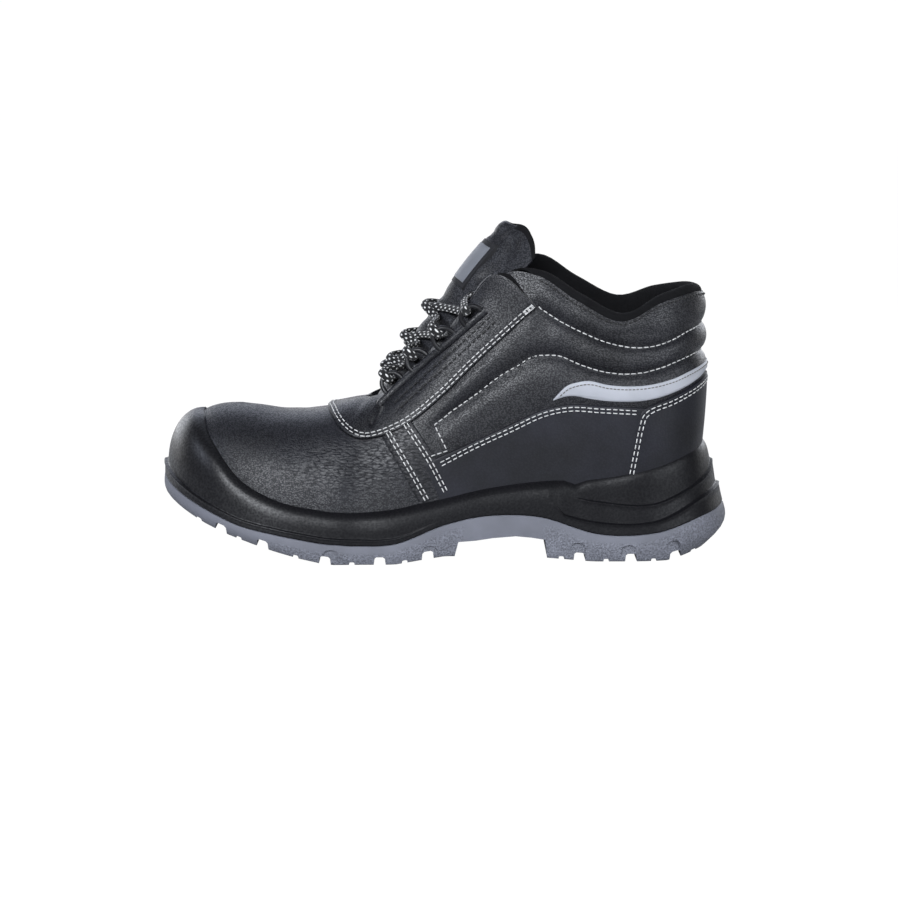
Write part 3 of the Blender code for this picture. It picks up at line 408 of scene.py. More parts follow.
def normal(side, t, v):
    """The unit normal of the outer face, pointing out of the shoe."""
    t, v = np.broadcast_arrays(np.asarray(t, float), np.asarray(v, float))
    step = 0.01
    along = skin(side, np.minimum(t + step, TOE_TIP), v) - skin(side, np.maximum(t - step, 0.0), v)
    up = skin(side, t, np.minimum(v + step, 1.0)) - skin(side, t, np.maximum(v - step, 0.0))
    out = np.cross(up, along) * side
    out[..., 1] = np.where(t <= 0.0, 0.0, out[..., 1])
    ridge = top_point(side, np.minimum(t + 0.3, TOE_TIP)) - top_point(side, np.maximum(t - 0.3, 0.0))
    over_ridge = np.stack([-ridge[..., 2], 0.0 * t, ridge[..., 0]], -1)
    on_ridge = (t >= THROAT_FRONT) & (v > 0.999)
    return unit(np.where(on_ridge[..., None], over_ridge, out))


def thickness(t, v):
    """The wall of the upper, which swells into the padded collar."""
    return WALL + (column(SECTIONS, "pad", t) - WALL) * ease(*PAD_LEVELS, v)


def locate(side, x, z):
    """The section t at which the outer face, at height z, is at x along the shoe."""
    low, high = np.zeros_like(x), np.full_like(x, TOE_TIP)
    for _ in range(34):
        middle = (low + high) / 2
        beyond = skin(side, middle, level(side, middle, z))[..., 0] > x
        low, high = np.where(beyond, low, middle), np.where(beyond, middle, high)
    return (low + high) / 2


# Soft troughs seen from the side, each from (x, z) to (x, z), with its width and depth
CREASES = [
    (-45, 131, -54, 121, 3.6, 0.7),
    (-50, 119, -68, 113, 4.5, 0.5),
    (-54, 146, -66, 134, 3.2, 0.5),
    (-30, 108, -44, 120, 4.5, 0.5),
    (-92, 119.5, -110, 120, 2.0, 0.5),
    (-96, 106, -116, 108.5, 2.2, 0.4),
    (-122, 131, -131, 134, 2.6, 0.5),
    (-76, 121, -84, 117, 3.0, 0.4),
    (-8, 70, -26, 80, 5.0, 0.4),
    (74, 76, 67, 58, 4.0, 0.35),
    (84, 74, 80, 56, 4.5, 0.3),
    (25.6, 81.6, -24.2, 128.0, 0.9, 0.22),
    (23.2, 79.1, -26.6, 125.5, 0.9, 0.22),
    (33.5, 79.0, 38.0, 71.0, 1.4, 1.3),
]


def drawn_in(places, rows):
    """How deep soft troughs are at places in a plane, by rows of two ends, a width and a depth."""
    total = np.zeros(places.shape[:-1])
    for *ends, wide, deep in rows:
        start, end = np.reshape(ends, (2, 2))
        way, place = end - start, places - start
        share = np.clip(place @ way / (way @ way), 0, 1)
        away = np.linalg.norm(place - share[..., None] * way, axis=-1)
        total += deep * np.exp(-(away / wide) ** 2)
    return total


def relief(points):
    """How deep the creases are at points of the upper."""
    return drawn_in(points[..., [0, 2]], CREASES)


def puffed(side, t, v):
    """How far the padding stands out between its seams."""
    levels = [*(level_at(side, t, rows) for rows in (PAD_FOOT, SEAM_LOW, SEAM_HIGH)), 1.0]
    total = 0.0
    for start, end, (share, last) in zip(levels, levels[1:], ROLLS):
        across = np.clip((v - start) / np.maximum(end - start, 0.02), 0, 1)
        total = total + share * np.sin(np.pi * across) * (1 - ease(last - ROLL_FADE, last, t))
    return mm("puff") * total


def leather(side, t, v):
    """A point of the dressed upper's outer face."""
    plain = skin(side, t, v)
    return plain + normal(side, t, v) * (puffed(side, t, v) - relief(plain))[..., None]


def stations(per_section):
    """Places round one side, closer together at heel and toe."""
    places = []
    for i in range(TOE_TIP):
        steps = per_section * (2 if i < HEEL_END or i >= TOE_START else 1)
        places += [i + k / steps for k in range(steps)]
    return np.array(places + [TOE_TIP], float)


def around(make, t):
    """Points of both sides, from the heel round the outer side to the toe and back along the inner side."""
    return np.concatenate([make(LATERAL, t), make(MEDIAL, t[-2::-1])])


# Meshes

def clear_selection():
    """Leaves nothing selected, in object mode."""
    if bpy.context.mode != "OBJECT":
        bpy.ops.object.mode_set(mode="OBJECT")
    bpy.ops.object.select_all(action="DESELECT")


def take(piece):
    """Makes one piece the selected and active one."""
    clear_selection()
    piece.select_set(True)
    bpy.context.view_layer.objects.active = piece


def edit_all(piece, *steps):
    """Runs edit-mode steps on the whole mesh of a piece."""
    take(piece)
    bpy.ops.object.mode_set(mode="EDIT")
    bpy.ops.mesh.select_all(action="SELECT")
    for step in steps:
        step()
    bpy.ops.object.mode_set(mode="OBJECT")


def weld():
    """Merges the points that lie together."""
    bpy.ops.mesh.remove_doubles(threshold=2e-6)


def outwards():
    """Turns the faces of a closed mesh outwards."""
    bpy.ops.mesh.normals_make_consistent(inside=False)


def sheet(name, points, outside=None):
    """A grid laid on points in millimetres, shaped (columns, rows, 3), that faces along outside."""
    columns, rows = points.shape[:2]
    clear_selection()
    bpy.ops.mesh.primitive_grid_add(x_subdivisions=columns - 1, y_subdivisions=rows - 1, size=1.0)
    piece = bpy.context.object
    piece.name = piece.data.name = name
    flat = np.empty(len(piece.data.vertices) * 3)
    piece.data.vertices.foreach_get("co", flat)
    flat = flat.reshape(-1, 3) + 0.5
    i = np.rint(flat[:, 0] * (columns - 1)).astype(int)
    j = np.rint(flat[:, 1] * (rows - 1)).astype(int)
    piece.data.vertices.foreach_set("co", (points[i, j] * MM).ravel())
    piece.data.update()
    if outside is not None:
        facing = np.cross(np.gradient(points, axis=0), np.gradient(points, axis=1))
        if (facing * outside).sum() < 0:
            edit_all(piece, bpy.ops.mesh.flip_normals)
    return piece


def vertex_places(piece):
    """The points of a piece's mesh, in millimetres."""
    places = np.empty(len(piece.data.vertices) * 3)
    piece.data.vertices.foreach_get("co", places)
    return places.reshape(-1, 3) / MM


def mark(piece, name, share):
    """Keeps a value for each point of a piece, for its material."""
    kept = piece.data.attributes.new(name, "FLOAT", "POINT")
    kept.data.foreach_set("value", share.astype(np.float32))


def apply_modifier(piece, kind, **settings):
    """Adds a modifier and applies it."""
    modifier = piece.modifiers.new(kind.lower(), kind)
    for name, value in settings.items():
        setattr(modifier, name, value)
    take(piece)
    bpy.ops.object.modifier_apply(modifier=modifier.name)


def wall(piece, thick, offset=-1.0):
    """Gives a sheet its thickness in millimetres."""
    apply_modifier(piece, "SOLIDIFY", thickness=thick * MM, offset=offset, use_even_offset=False)


def tube(name, line, wide_way, half_wide, half_thick, sides, closed=False):
    """An oval tube along a line in millimetres, wide along wide_way, with its seam welded."""
    line, wide_way = np.asarray(line, float), np.asarray(wide_way, float)
    along = np.roll(line, -1, 0) - np.roll(line, 1, 0) if closed else np.gradient(line, axis=0)
    along = unit(along)
    wide = unit(wide_way - along * (wide_way * along).sum(1, keepdims=True))
    thick = np.cross(along, wide)
    turn = np.linspace(0, 2 * np.pi, sides + 1)
    half_wide = np.broadcast_to(half_wide, len(line))[:, None, None]
    half_thick = np.broadcast_to(half_thick, len(line))[:, None, None]
    ring = (line[:, None] + wide[:, None] * np.cos(turn)[None, :, None] * half_wide
            + thick[:, None] * np.sin(turn)[None, :, None] * half_thick)
    if closed:
        ring = np.concatenate([ring, ring[:1]])
    piece = sheet(name, ring)
    steps = [weld]
    if not closed:
        steps += [lambda: bpy.ops.mesh.select_all(action="DESELECT"), bpy.ops.mesh.select_non_manifold,
                  bpy.ops.mesh.edge_face_add, lambda: bpy.ops.mesh.select_all(action="SELECT")]
    edit_all(piece, *steps, outwards)
    return piece


def dress(piece, material, slot, *nodes, angle=40):
    """Finishes a piece: its material, its body and the solids that it stands for. slot is not used."""
    piece.data.materials.clear()
    piece.data.materials.append(material)
    take(piece)
    bpy.ops.object.shade_smooth_by_angle(angle=math.radians(angle))
    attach(piece, "root")
    if nodes:
        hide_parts(*nodes)
    return piece


# Panels sewn on the upper

# Places of a panel's edge rows in edge radii, and how far a free corner lifts along the panel
EDGE_STEPS = np.array([0.0, 0.15, 0.4, 0.7, 1.1])
FLAP_REACH = 14


def spaced(width, radius, inner):
    """Places across a strip of that width, close together at both rounded edges."""
    near = EDGE_STEPS * min(radius, 0.3 * float(np.min(width))) / np.asarray(width, float)[..., None]
    far = 1 - near[..., ::-1]
    mix = np.linspace(0, 1, inner + 2)[1:-1]
    middle = near[..., -1:] * (1 - mix) + far[..., :1] * mix
    return np.concatenate([near, middle, far], -1)


def run(points, axis):
    """The distance along one axis of a grid of points, from its start."""
    step = np.linalg.norm(np.diff(points, axis=axis), axis=-1)
    pad = [(0, 0), (0, 0)]
    pad[axis] = (1, 0)
    return np.pad(np.cumsum(step, axis), pad)


def rounded(distance, radius):
    """The share of its height that a panel has at a distance from its cut edge."""
    q = np.clip(distance / radius, 0, 1)
    return np.sqrt(1 - (1 - q) ** 2)


def lengths(line):
    """The length of a line up to each of its points."""
    return np.concatenate([[0], np.cumsum(np.linalg.norm(np.diff(line, axis=0), axis=1))])


def read_along(rows, far, spots):
    """Rows that stand at distances far, read at other distances."""
    return np.stack([np.interp(spots, far, values) for values in rows.T], -1)


def line_at(rows, share):
    """Points at shares of the length of a smooth line through rows."""
    rows = np.asarray(rows, float)
    along = lengths(rows)
    return np.stack([smooth(along, values, np.asarray(share) * along[-1]) for values in rows.T], -1)


def edge(side, rows, share):
    """Sections and levels along a smooth line of (x, z) rows seen from the side."""
    at = line_at(rows, share)
    t = locate(side, at[:, 0], at[:, 1])
    return np.stack([t, level(side, t, at[:, 1])], -1)


def panel_grid(halves, inner):
    """Points and normals of the upper on a grid between two edges, for each half (side, low, high)."""
    points, normals = [], []
    for side, low, high in halves:
        mix = np.linspace(0, 1, 7)[None, :, None]
        coarse = low[:, None] * (1 - mix) + high[:, None] * mix
        width = run(leather(side, coarse[..., 0], coarse[..., 1]), 1)[:, -1]
        share = spaced(np.maximum(width, 0.5), mm("edge"), inner)[..., None]
        place = low[:, None] * (1 - share) + high[:, None] * share
        skip = 1 if points else 0
        points.append(leather(side, place[..., 0], place[..., 1])[skip:])
        normals.append(normal(side, place[..., 0], place[..., 1])[skip:])
    return np.concatenate(points), np.concatenate(normals)


def sewn_panel(name, halves, lift, radii, inner=12, thick=1.3, flap=0.0):
    """A panel on the upper. radii round its low, high, first and last edge, and 0 leaves one whole.

    flap lifts the corners between its high edge and its first and last ones.
    """
    points, normals = panel_grid(halves, inner)
    across, along = run(points, 1), run(points, 0)
    distances = (across, across[:, -1:] - across, along, along[-1:] - along)
    share = np.ones(points.shape[:2])
    for distance, radius in zip(distances, radii):
        if radius:
            share = share * rounded(distance, radius)
    end = np.minimum(along, along[-1:] - along)
    corner = flap * np.exp(-(end / FLAP_REACH) ** 2) * (0.25 + 0.75 * across / across[:, -1:]) * share
    piece = sheet(name, points + normals * (share * (lift + SINK) - SINK + corner)[..., None], normals)
    wall(piece, thick)
    return piece


# Finishes

class Graph:
    """Adds and links the nodes of one shader tree."""

    def __init__(self, tree):
        self.tree = tree

    def add(self, kind, inputs=(), **settings):
        """A node with its settings and its inputs, which are values or other nodes' outputs."""
        node = self.tree.nodes.new(kind)
        for name, value in settings.items():
            setattr(node, name, value)
        for key, value in dict(inputs).items():
            self.feed(node.inputs[key], value)
        return node

    def feed(self, socket, value):
        """Links an input to another node's output, or gives it a plain value."""
        if isinstance(value, bpy.types.NodeSocket):
            self.tree.links.new(value, socket)
        else:
            socket.default_value = value

    def math(self, operation, a, b=0.0, c=0.0):
        """A number worked out from others."""
        return self.add("ShaderNodeMath", {0: a, 1: b, 2: c}, operation=operation).outputs[0]

    def vector(self, operation, a, b=(0.0, 0.0, 0.0)):
        """A vector worked out from others."""
        return self.add("ShaderNodeVectorMath", {0: a, 1: b}, operation=operation).outputs[0]

    def scaled(self, vector, scale):
        """A vector made longer or shorter."""
        return self.add("ShaderNodeVectorMath", {0: vector, "Scale": scale}, operation="SCALE").outputs[0]

    def bump(self, raised, deep):
        """A normal bent by heights, deep metres from 0 to 1."""
        return self.add("ShaderNodeBump", {"Height": raised, "Strength": 1.0, "Distance": deep}).outputs[0]

    def group(self, tree, **values):
        """The outputs of a shared effect with its own values."""
        return self.add("ShaderNodeGroup", values, node_tree=tree).outputs

    def noise(self, place, scale, detail=2.0):
        """Soft noise from 0 to 1."""
        inputs = {"Vector": place, "Scale": scale, "Detail": detail}
        return self.add("ShaderNodeTexNoise", inputs).outputs["Fac"]

    def span(self, value, low, high, to_low=0.0, to_high=1.0, smooth_step=False):
        """A value carried from one range to another."""
        kind = "SMOOTHSTEP" if smooth_step else "LINEAR"
        return self.add("ShaderNodeMapRange", {0: value, 1: low, 2: high, 3: to_low, 4: to_high},
                        interpolation_type=kind).outputs[0]

    def mix(self, share, a, b):
        """A colour between two."""
        return self.add("ShaderNodeMix", {"Factor": share, 6: a, 7: b}, data_type="RGBA").outputs[2]

    def place(self, kind="Object"):
        """The piece's own coordinates."""
        return self.add("ShaderNodeTexCoord").outputs[kind]

    def attribute(self, name):
        """A value stored on the piece's points."""
        return self.add("ShaderNodeAttribute", attribute_name=name).outputs["Fac"]


def shared(make):
    """Keeps the node group that a maker of effects has made, by its name."""
    def kept():
        return bpy.data.node_groups.get(make.__name__) or make(make.__name__)
    return kept


def effect(name, inputs, outputs):
    """A new shader node group with float inputs and outputs: its graph, input sockets and output node."""
    tree = bpy.data.node_groups.new(name, "ShaderNodeTree")
    for key, value in inputs.items():
        socket = tree.interface.new_socket(key, in_out="INPUT", socket_type="NodeSocketFloat")
        socket.default_value = value
    for key in outputs:
        tree.interface.new_socket(key, in_out="OUTPUT", socket_type="NodeSocketFloat")
    graph = Graph(tree)
    return graph, graph.add("NodeGroupInput").outputs, graph.add("NodeGroupOutput")


@shared
def pebbled_grain(name):
    """Tumbled leather: rounded pebbles between fine valleys, and a slow change of tone."""
    graph, given, out = effect(name, {"Cell": 0.0015, "Warp": 0.6, "Stretch": 1.0}, ("Height", "Tone"))
    place = graph.place()
    scale = graph.math("DIVIDE", 1.0, given["Cell"])
    split = graph.add("ShaderNodeSeparateXYZ", {0: place}).outputs
    along = graph.math("DIVIDE", split["X"], given["Stretch"])
    drawn = graph.add("ShaderNodeCombineXYZ", {0: along, 1: split["Y"], 2: split["Z"]}).outputs[0]
    cells = graph.scaled(drawn, scale)
    bend = graph.add("ShaderNodeTexNoise", {"Vector": cells, "Scale": 0.6, "Detail": 2.0}).outputs["Color"]
    bend = graph.vector("SUBTRACT", bend, (0.5, 0.5, 0.5))
    cells = graph.vector("ADD", cells, graph.scaled(bend, given["Warp"]))
    pebbles = graph.add("ShaderNodeTexVoronoi", {"Vector": cells, "Scale": 1.0, "Smoothness": 0.3},
                        feature="SMOOTH_F1")
    dome = graph.span(graph.math("POWER", pebbles.outputs["Distance"], 2.0), 0.0, 0.5, 1.0, 0.0)
    valleys = graph.add("ShaderNodeTexVoronoi", {"Vector": cells, "Scale": 1.0}, feature="DISTANCE_TO_EDGE")
    flat = graph.span(valleys.outputs["Distance"], 0.0, 0.2, smooth_step=True)
    fine = graph.noise(cells, 1.3, 2.0)
    patch = graph.noise(cells, 0.09, 2.0)
    depth = graph.span(patch, 0.3, 0.7, 0.85, 1.0)
    raised = graph.math("MULTIPLY_ADD", dome, 0.5, graph.math("MULTIPLY", flat, 0.2))
    raised = graph.math("MULTIPLY_ADD", graph.span(fine, 0.3, 0.7), 0.4, raised)
    graph.feed(out.inputs["Height"], graph.math("MULTIPLY", raised, depth))
    graph.feed(out.inputs["Tone"], graph.noise(place, 38.0, 3.0))
    return graph.tree


@shared
def moulded_grain(name):
    """The sanded face of a mould: fine pits, and a slow change of tone."""
    graph, given, out = effect(name, {"Cell": 0.0006}, ("Height", "Tone"))
    place = graph.place()
    scale = graph.math("DIVIDE", 1.0, given["Cell"])
    cells = graph.scaled(place, scale)
    pits = graph.add("ShaderNodeTexVoronoi", {"Vector": cells, "Scale": 1.0}, feature="SMOOTH_F1")
    raised = graph.math("MULTIPLY_ADD", graph.noise(cells, 1.6, 3.0), 0.6, pits.outputs["Distance"])
    raised = graph.span(raised, 0.35, 1.1)
    graph.feed(out.inputs["Height"], raised)
    graph.feed(out.inputs["Tone"], graph.noise(place, 45.0, 4.0))
    return graph.tree


@shared
def woven_cloth(name):
    """A close knit in two crossing rows."""
    graph, given, out = effect(name, {"Pitch": 0.0011}, ("Height", "Tone"))
    place = graph.place()
    split = graph.add("ShaderNodeSeparateXYZ", {0: place}).outputs
    turn = graph.math("DIVIDE", 2 * math.pi, given["Pitch"])
    level_way = graph.math("ADD", split["X"], split["Y"])
    one = graph.math("SINE", graph.math("MULTIPLY", graph.math("ADD", level_way, split["Z"]), turn))
    two = graph.math("SINE", graph.math("MULTIPLY", graph.math("SUBTRACT", level_way, split["Z"]), turn))
    graph.feed(out.inputs["Height"], graph.math("MULTIPLY", one, two))
    graph.feed(out.inputs["Tone"], graph.noise(place, 60.0, 3.0))
    return graph.tree


def finish(name, roughness, **sockets):
    """A new material with its graph and its shader, whose plain values are set on its own sockets."""
    material = bpy.data.materials.new(name)
    material.use_nodes = True
    shader = material.node_tree.nodes["Principled BSDF"]
    shader.inputs["Roughness"].default_value = roughness
    for key, value in sockets.items():
        shader.inputs[key.replace("_", " ")].default_value = value
    return material, Graph(material.node_tree), shader


def shade(value, share):
    """A colour made lighter or darker, with its alpha."""
    return (*(min(1.0, c * share) for c in value), 1.0)


def surface(graph, shader, base, tone, raised, deep, rough, light=1.35, dark=0.75, painted_relief_light=0.0):
    """Feeds a shader from an effect: tone, with painted highlights on raised grain and painted shade in its
    hollows, to colour; height to gloss and bump.
    """
    # Beside the tone, a share of the colour is painted by height: raised grain takes the light colour as a
    # painted highlight and hollows take the dark colour as painted shade
    share = graph.math("MULTIPLY", graph.span(tone, 0.3, 0.7), 1 - painted_relief_light)
    share = graph.math("MULTIPLY_ADD", graph.span(raised, 0.1, 1.1), painted_relief_light, share)
    graph.feed(shader.inputs["Base Color"], graph.mix(share, shade(base, dark), shade(base, light)))
    graph.feed(shader.inputs["Roughness"], graph.span(raised, 0.0, 1.0, *rough))
    graph.feed(shader.inputs["Normal"], graph.bump(raised, deep))


def once(make):
    """Keeps each material that a maker of materials has made, by its name."""
    def kept(name, *values, **settings):
        return bpy.data.materials.get(name) or make(name, *values, **settings)
    return kept


# Leather: its shine, the lightest and darkest share of its colour for its tone and for painted highlights and
# shade on its grain, the heights of a pebble's glossy top
LEATHER_SHINE = {"Specular_IOR_Level": 0.35, "Coat_Roughness": 0.4}
LEATHER_TONE_AND_RELIEF_LIGHT = (2.0, 0.4)
PEBBLE_TOPS = (0.42, 0.74)
# The last of these is how much of the leather's colour is painted highlight on its pebbles and painted shade
# in its valleys
FINE_STRETCH, FLEX_STRETCH, UPPER_WARP, LEATHER_GLOSS, LEATHER_PAINTED_RELIEF_LIGHT = 1.3, 2.3, 0.9, 0.95, 0.6
FLEX_GLOSS, FLEX_DEPTH = 0.6, 3.0


@once
def leather_finish(name, base, cell, deep, rough, warp, stretch=FINE_STRETCH, gloss=(0.0, LEATHER_GLOSS),
                   painted_relief_light=LEATHER_PAINTED_RELIEF_LIGHT):
    """Black leather of one grain, dull in its valleys and glossy on its pebbles."""
    material, graph, shader = finish(name, rough[1], **LEATHER_SHINE)
    grain = graph.group(pebbled_grain(), Cell=cell, Warp=warp, Stretch=stretch)
    # Colour: its tone, with painted highlights on the pebbles and painted shade in the valleys
    surface(graph, shader, base, grain["Tone"], grain["Height"], deep, rough, *LEATHER_TONE_AND_RELIEF_LIGHT, painted_relief_light)
    graph.feed(shader.inputs["Coat Weight"], graph.span(grain["Height"], *PEBBLE_TOPS, *gloss))
    return material


@once
def upper_finish(name, base, coarse, fine):
    """The upper's leather: a fine grain all over and coarse pebbles where the vamp flexes."""
    material, graph, shader = finish(name, 0.45, **LEATHER_SHINE)
    flex = graph.attribute("flex")
    small = graph.group(pebbled_grain(), Cell=fine, Warp=UPPER_WARP, Stretch=FINE_STRETCH)
    large = graph.group(pebbled_grain(), Cell=coarse, Warp=UPPER_WARP, Stretch=FLEX_STRETCH)
    raised = graph.add("ShaderNodeMix", {0: flex, 2: small["Height"], 3: large["Height"]}).outputs[0]
    glossy = graph.math("MULTIPLY", graph.span(raised, *PEBBLE_TOPS, 0.0, LEATHER_GLOSS),
                        graph.span(flex, 0.0, 1.0, 1.0, FLEX_GLOSS))
    graph.feed(shader.inputs["Coat Weight"], glossy)
    raised = graph.math("MULTIPLY", raised, graph.span(flex, 0.0, 1.0, 1.0, FLEX_DEPTH))
    # Colour: its tone, with painted highlights on the pebbles and painted shade in the valleys
    surface(graph, shader, base, large["Tone"], raised, 0.00016, (0.48, 0.4), *LEATHER_TONE_AND_RELIEF_LIGHT, LEATHER_PAINTED_RELIEF_LIGHT)
    return material


# Lightest and darkest share of the colour, and how much of that is painted by height: painted shade in the
# pits, painted highlight on the grain
MOULDED_TONE_AND_PIT_SHADE, MASKED_TONE_AND_PIT_SHADE = (1.12, 0.85, 0.2), (1.3, 0.3, 0.75)


@once
def moulded_finish(name, base, cell, deep, rough, mask=None, gloss=None, **sockets):
    """A moulded sole or plastic, grained all over or where a mask says, with a gloss on its grains."""
    material, graph, shader = finish(name, rough[1], **sockets)
    grain = graph.group(moulded_grain(), Cell=cell)
    raised = grain["Height"]
    if mask:
        raised = graph.math("MULTIPLY_ADD", graph.math("SUBTRACT", raised, 0.5), graph.attribute(mask), 0.75)
    if gloss:
        share = graph.math("MULTIPLY", graph.span(raised, 0.2, 0.9, *gloss), graph.attribute("polish"))
        graph.feed(shader.inputs["Coat Weight"], share)
    # Colour: its tone, with painted shade in the pits and painted highlight on the raised grain
    tone_and_pit_shade = MASKED_TONE_AND_PIT_SHADE if mask else MOULDED_TONE_AND_PIT_SHADE
    surface(graph, shader, base, grain["Tone"], raised, deep, rough, *tone_and_pit_shade)
    return material


@once
def cloth_finish(name, base, pitch, deep):
    """A black knitted textile."""
    material, graph, shader = finish(name, 0.95, Specular_IOR_Level=0.2)
    weave = graph.group(woven_cloth(), Pitch=pitch)
    surface(graph, shader, base, weave["Tone"], weave["Height"], deep, (0.98, 0.86))
    return material


@once
def strip_finish(name, base):
    """A reflective tape of fine glass beads."""
    material, graph, shader = finish(name, 0.42, Specular_IOR_Level=0.6)
    place = graph.place()
    beads = graph.add("ShaderNodeTexVoronoi", {"Vector": place, "Scale": 3600.0})
    tone = graph.noise(place, 90.0, 3.0)
    surface(graph, shader, base, tone, beads.outputs["Distance"], 0.00006, (0.34, 0.5), 1.06, 0.94)
    return material


@once
def thread_finish(name, base):
    """Twisted sewing thread."""
    material, graph, shader = finish(name, 0.6, Sheen_Weight=0.2)
    place = graph.place()
    twist = graph.noise(place, 2600.0, 1.0)
    surface(graph, shader, base, graph.noise(place, 300.0, 2.0), twist, 0.00012, (0.7, 0.5), 1.05, 0.86)
    return material


# Flecks of the lace: half sizes in their cells, rows round the lace, pitch along it in millimetres
FLECK_SIZE = (0.19, 0.28)
FLECK_ROWS, FLECK_PITCH = 8.0, 4.4


@once
def lace_finish(name, base, fleck, turns, pitch):
    """A braided lace: staggered white flecks on black, along the piece's own UV map."""
    material, graph, shader = finish(name, 0.8, Sheen_Weight=0.15)
    split = graph.add("ShaderNodeSeparateXYZ", {0: graph.place("UV")}).outputs
    row = graph.math("MULTIPLY", split["Y"], turns)
    shift = graph.math("MULTIPLY", graph.math("FLOOR", row), 0.5)
    along = graph.math("ADD", graph.math("MULTIPLY", split["X"], pitch), shift)
    away = [graph.math("SUBTRACT", graph.math("FRACT", value), 0.5) for value in (along, row)]
    squared = [graph.math("POWER", graph.math("DIVIDE", value, size), 2.0)
               for value, size in zip(away, FLECK_SIZE)]
    ring = graph.math("ADD", *squared)
    spot = graph.span(ring, 0.75, 1.15, 1.0, 0.0, smooth_step=True)
    wave = graph.math("SINE", graph.math("MULTIPLY", graph.math("ADD", along, row), 2 * math.pi))
    raised = graph.math("MULTIPLY_ADD", wave, 0.3, graph.span(ring, 0.0, 2.0, 1.0, 0.0))
    graph.feed(shader.inputs["Base Color"], graph.mix(spot, shade(base, 1.0), shade(fleck, 1.0)))
    graph.feed(shader.inputs["Roughness"], graph.span(spot, 0.0, 1.0, 0.85, 0.6))
    graph.feed(shader.inputs["Normal"], graph.bump(raised, 0.0003))
    return material


def black_leather(kind):
    """The leather of one group of panels."""
    base, fine = colours().leather, sizes().fine_grain
    if kind == "smooth":
        # The smooth leather takes only a little painted highlight and shade from its grain, the last value
        return leather_finish("smooth_leather", colours().smooth, fine * 1.6, 0.00004, (0.5, 0.42), 1.2, 1.0,
                              (0.06, 0.12), 0.15)
    if kind == "band":
        return leather_finish("vamp_leather", base, sizes().coarse_grain, 0.0003, (0.48, 0.4), UPPER_WARP,
                              1.9, (0.0, 0.5))
    if kind == "tongue":
        return leather_finish("tongue_leather", base, fine, 0.00016, (0.5, 0.42), 0.7)
    return leather_finish("facing_leather", base, fine, 0.00016, (0.48, 0.4), UPPER_WARP)


def lining_cloth():
    """The textile of the lining, the collar's edge and the footbed."""
    return cloth_finish("lining_cloth", colours().lining, 0.0012, 0.00016)


# Pieces

class ShoeOperator:
    """What the operators share."""

    bl_options = {"REGISTER", "UNDO"}

    def execute(self, context):
        """Makes the pieces."""
        self.build()
        return {"FINISHED"}


# Where the vamp flexes, as (x, z), and how much of that the rest of the vamp shows
FLEX_MIDDLE, FLEX_REACH, FLEX_FRONT = (44, 51), (34, 16), 0.12


def upper_levels(side, t):
    """Levels of the dressed upper's rows, few of them under the midsole's edge."""
    cup = level(side, t, column(SECTIONS, "cup", t))[:, None] * 0.93
    hidden = cup * np.linspace(0, 1, 4, endpoint=False)
    return np.concatenate([hidden, cup + (1 - cup) * np.linspace(0, 1, 86)], 1)


class SHOE_OT_upper(ShoeOperator, Operator):
    """Makes the leather of vamp, quarters and collar"""

    bl_idname = "shoe.upper"
    bl_label = "Upper"

    def build(self):
        t = stations(10)
        points = around(lambda side, at: leather(side, at[:, None], upper_levels(side, at)), t)
        facing = around(lambda side, at: normal(side, at[:, None], upper_levels(side, at)), t)
        piece = sheet("upper_leather", points, facing)
        edit_all(piece, weld)
        wall(piece, mm("leather"))
        x, _, z = vertex_places(piece).T
        far = ((x - FLEX_MIDDLE[0]) / FLEX_REACH[0]) ** 2 + ((z - FLEX_MIDDLE[1]) / FLEX_REACH[1]) ** 2
        mark(piece, "flex", np.exp(-far) * ease(8, 20, x) + FLEX_FRONT * ease(20, 40, x))
        material = upper_finish("upper_leather", colours().leather, sizes().coarse_grain, sizes().fine_grain)
        dress(piece, material, "leather", "upper")


# Rows of the lining and of its padded rim, and how the rim ends at the throat
LINING_ROWS, RIM_ROWS = 26, 13
RIM_SINK, RIM_TURN, RIM_FADE = 0.6, 0.62 * np.pi, (5.0, 6.0)


def lining_points(side, t):
    """Points from the leather's edge over the collar's rim and down the inside to the footbed."""
    at = t[:, None]
    v = np.repeat(np.linspace(1, 0, LINING_ROWS)[None], len(t), 0)
    drawn, plain = quilting(side, at, v), skin(side, at, v)
    deep = np.maximum(thickness(at, v), drawn + relief(plain) + mm("leather") + 0.5)
    inside = plain + outward(side, at) * drawn[..., None] - normal(side, at, v) * deep[..., None]
    edge_line = skin(side, t, 1.0) - normal(side, t, 1.0) * RIM_SINK
    across = (inside[:, 0] - edge_line) / 2
    rise = unit(skin(side, t, 1.0) - skin(side, t, 0.97)) * np.linalg.norm(across, axis=-1, keepdims=True)
    start = RIM_TURN * ease(*RIM_FADE, t)[:, None]
    turn = start + (np.pi - start) * np.linspace(0, 1, RIM_ROWS)[None, :-1]
    arc = ((edge_line + across)[:, None] - across[:, None] * np.cos(turn)[..., None]
           + rise[:, None] * np.sin(turn)[..., None])
    open_edge = (t < THROAT_FRONT)[:, None, None]
    return np.concatenate([np.where(open_edge, arc, inside[:, :1]), inside], 1)


class SHOE_OT_lining(ShoeOperator, Operator):
    """Makes the textile lining with the padded edge of the collar, and the footbed"""

    bl_idname = "shoe.lining"
    bl_label = "Lining and footbed"

    def build(self):
        points = around(lining_points, stations(6))
        piece = sheet("collar_lining", points, np.array([0.0, 0.0, 1.0]) * (points[..., 2:] > 120))
        edit_all(piece, weld)
        wall(piece, 0.8)
        dress(piece, lining_cloth(), "lining", angle=60)
        dress(sole_tub("footbed", footbed_rows, stations(4)), lining_cloth(), "lining", "insole")


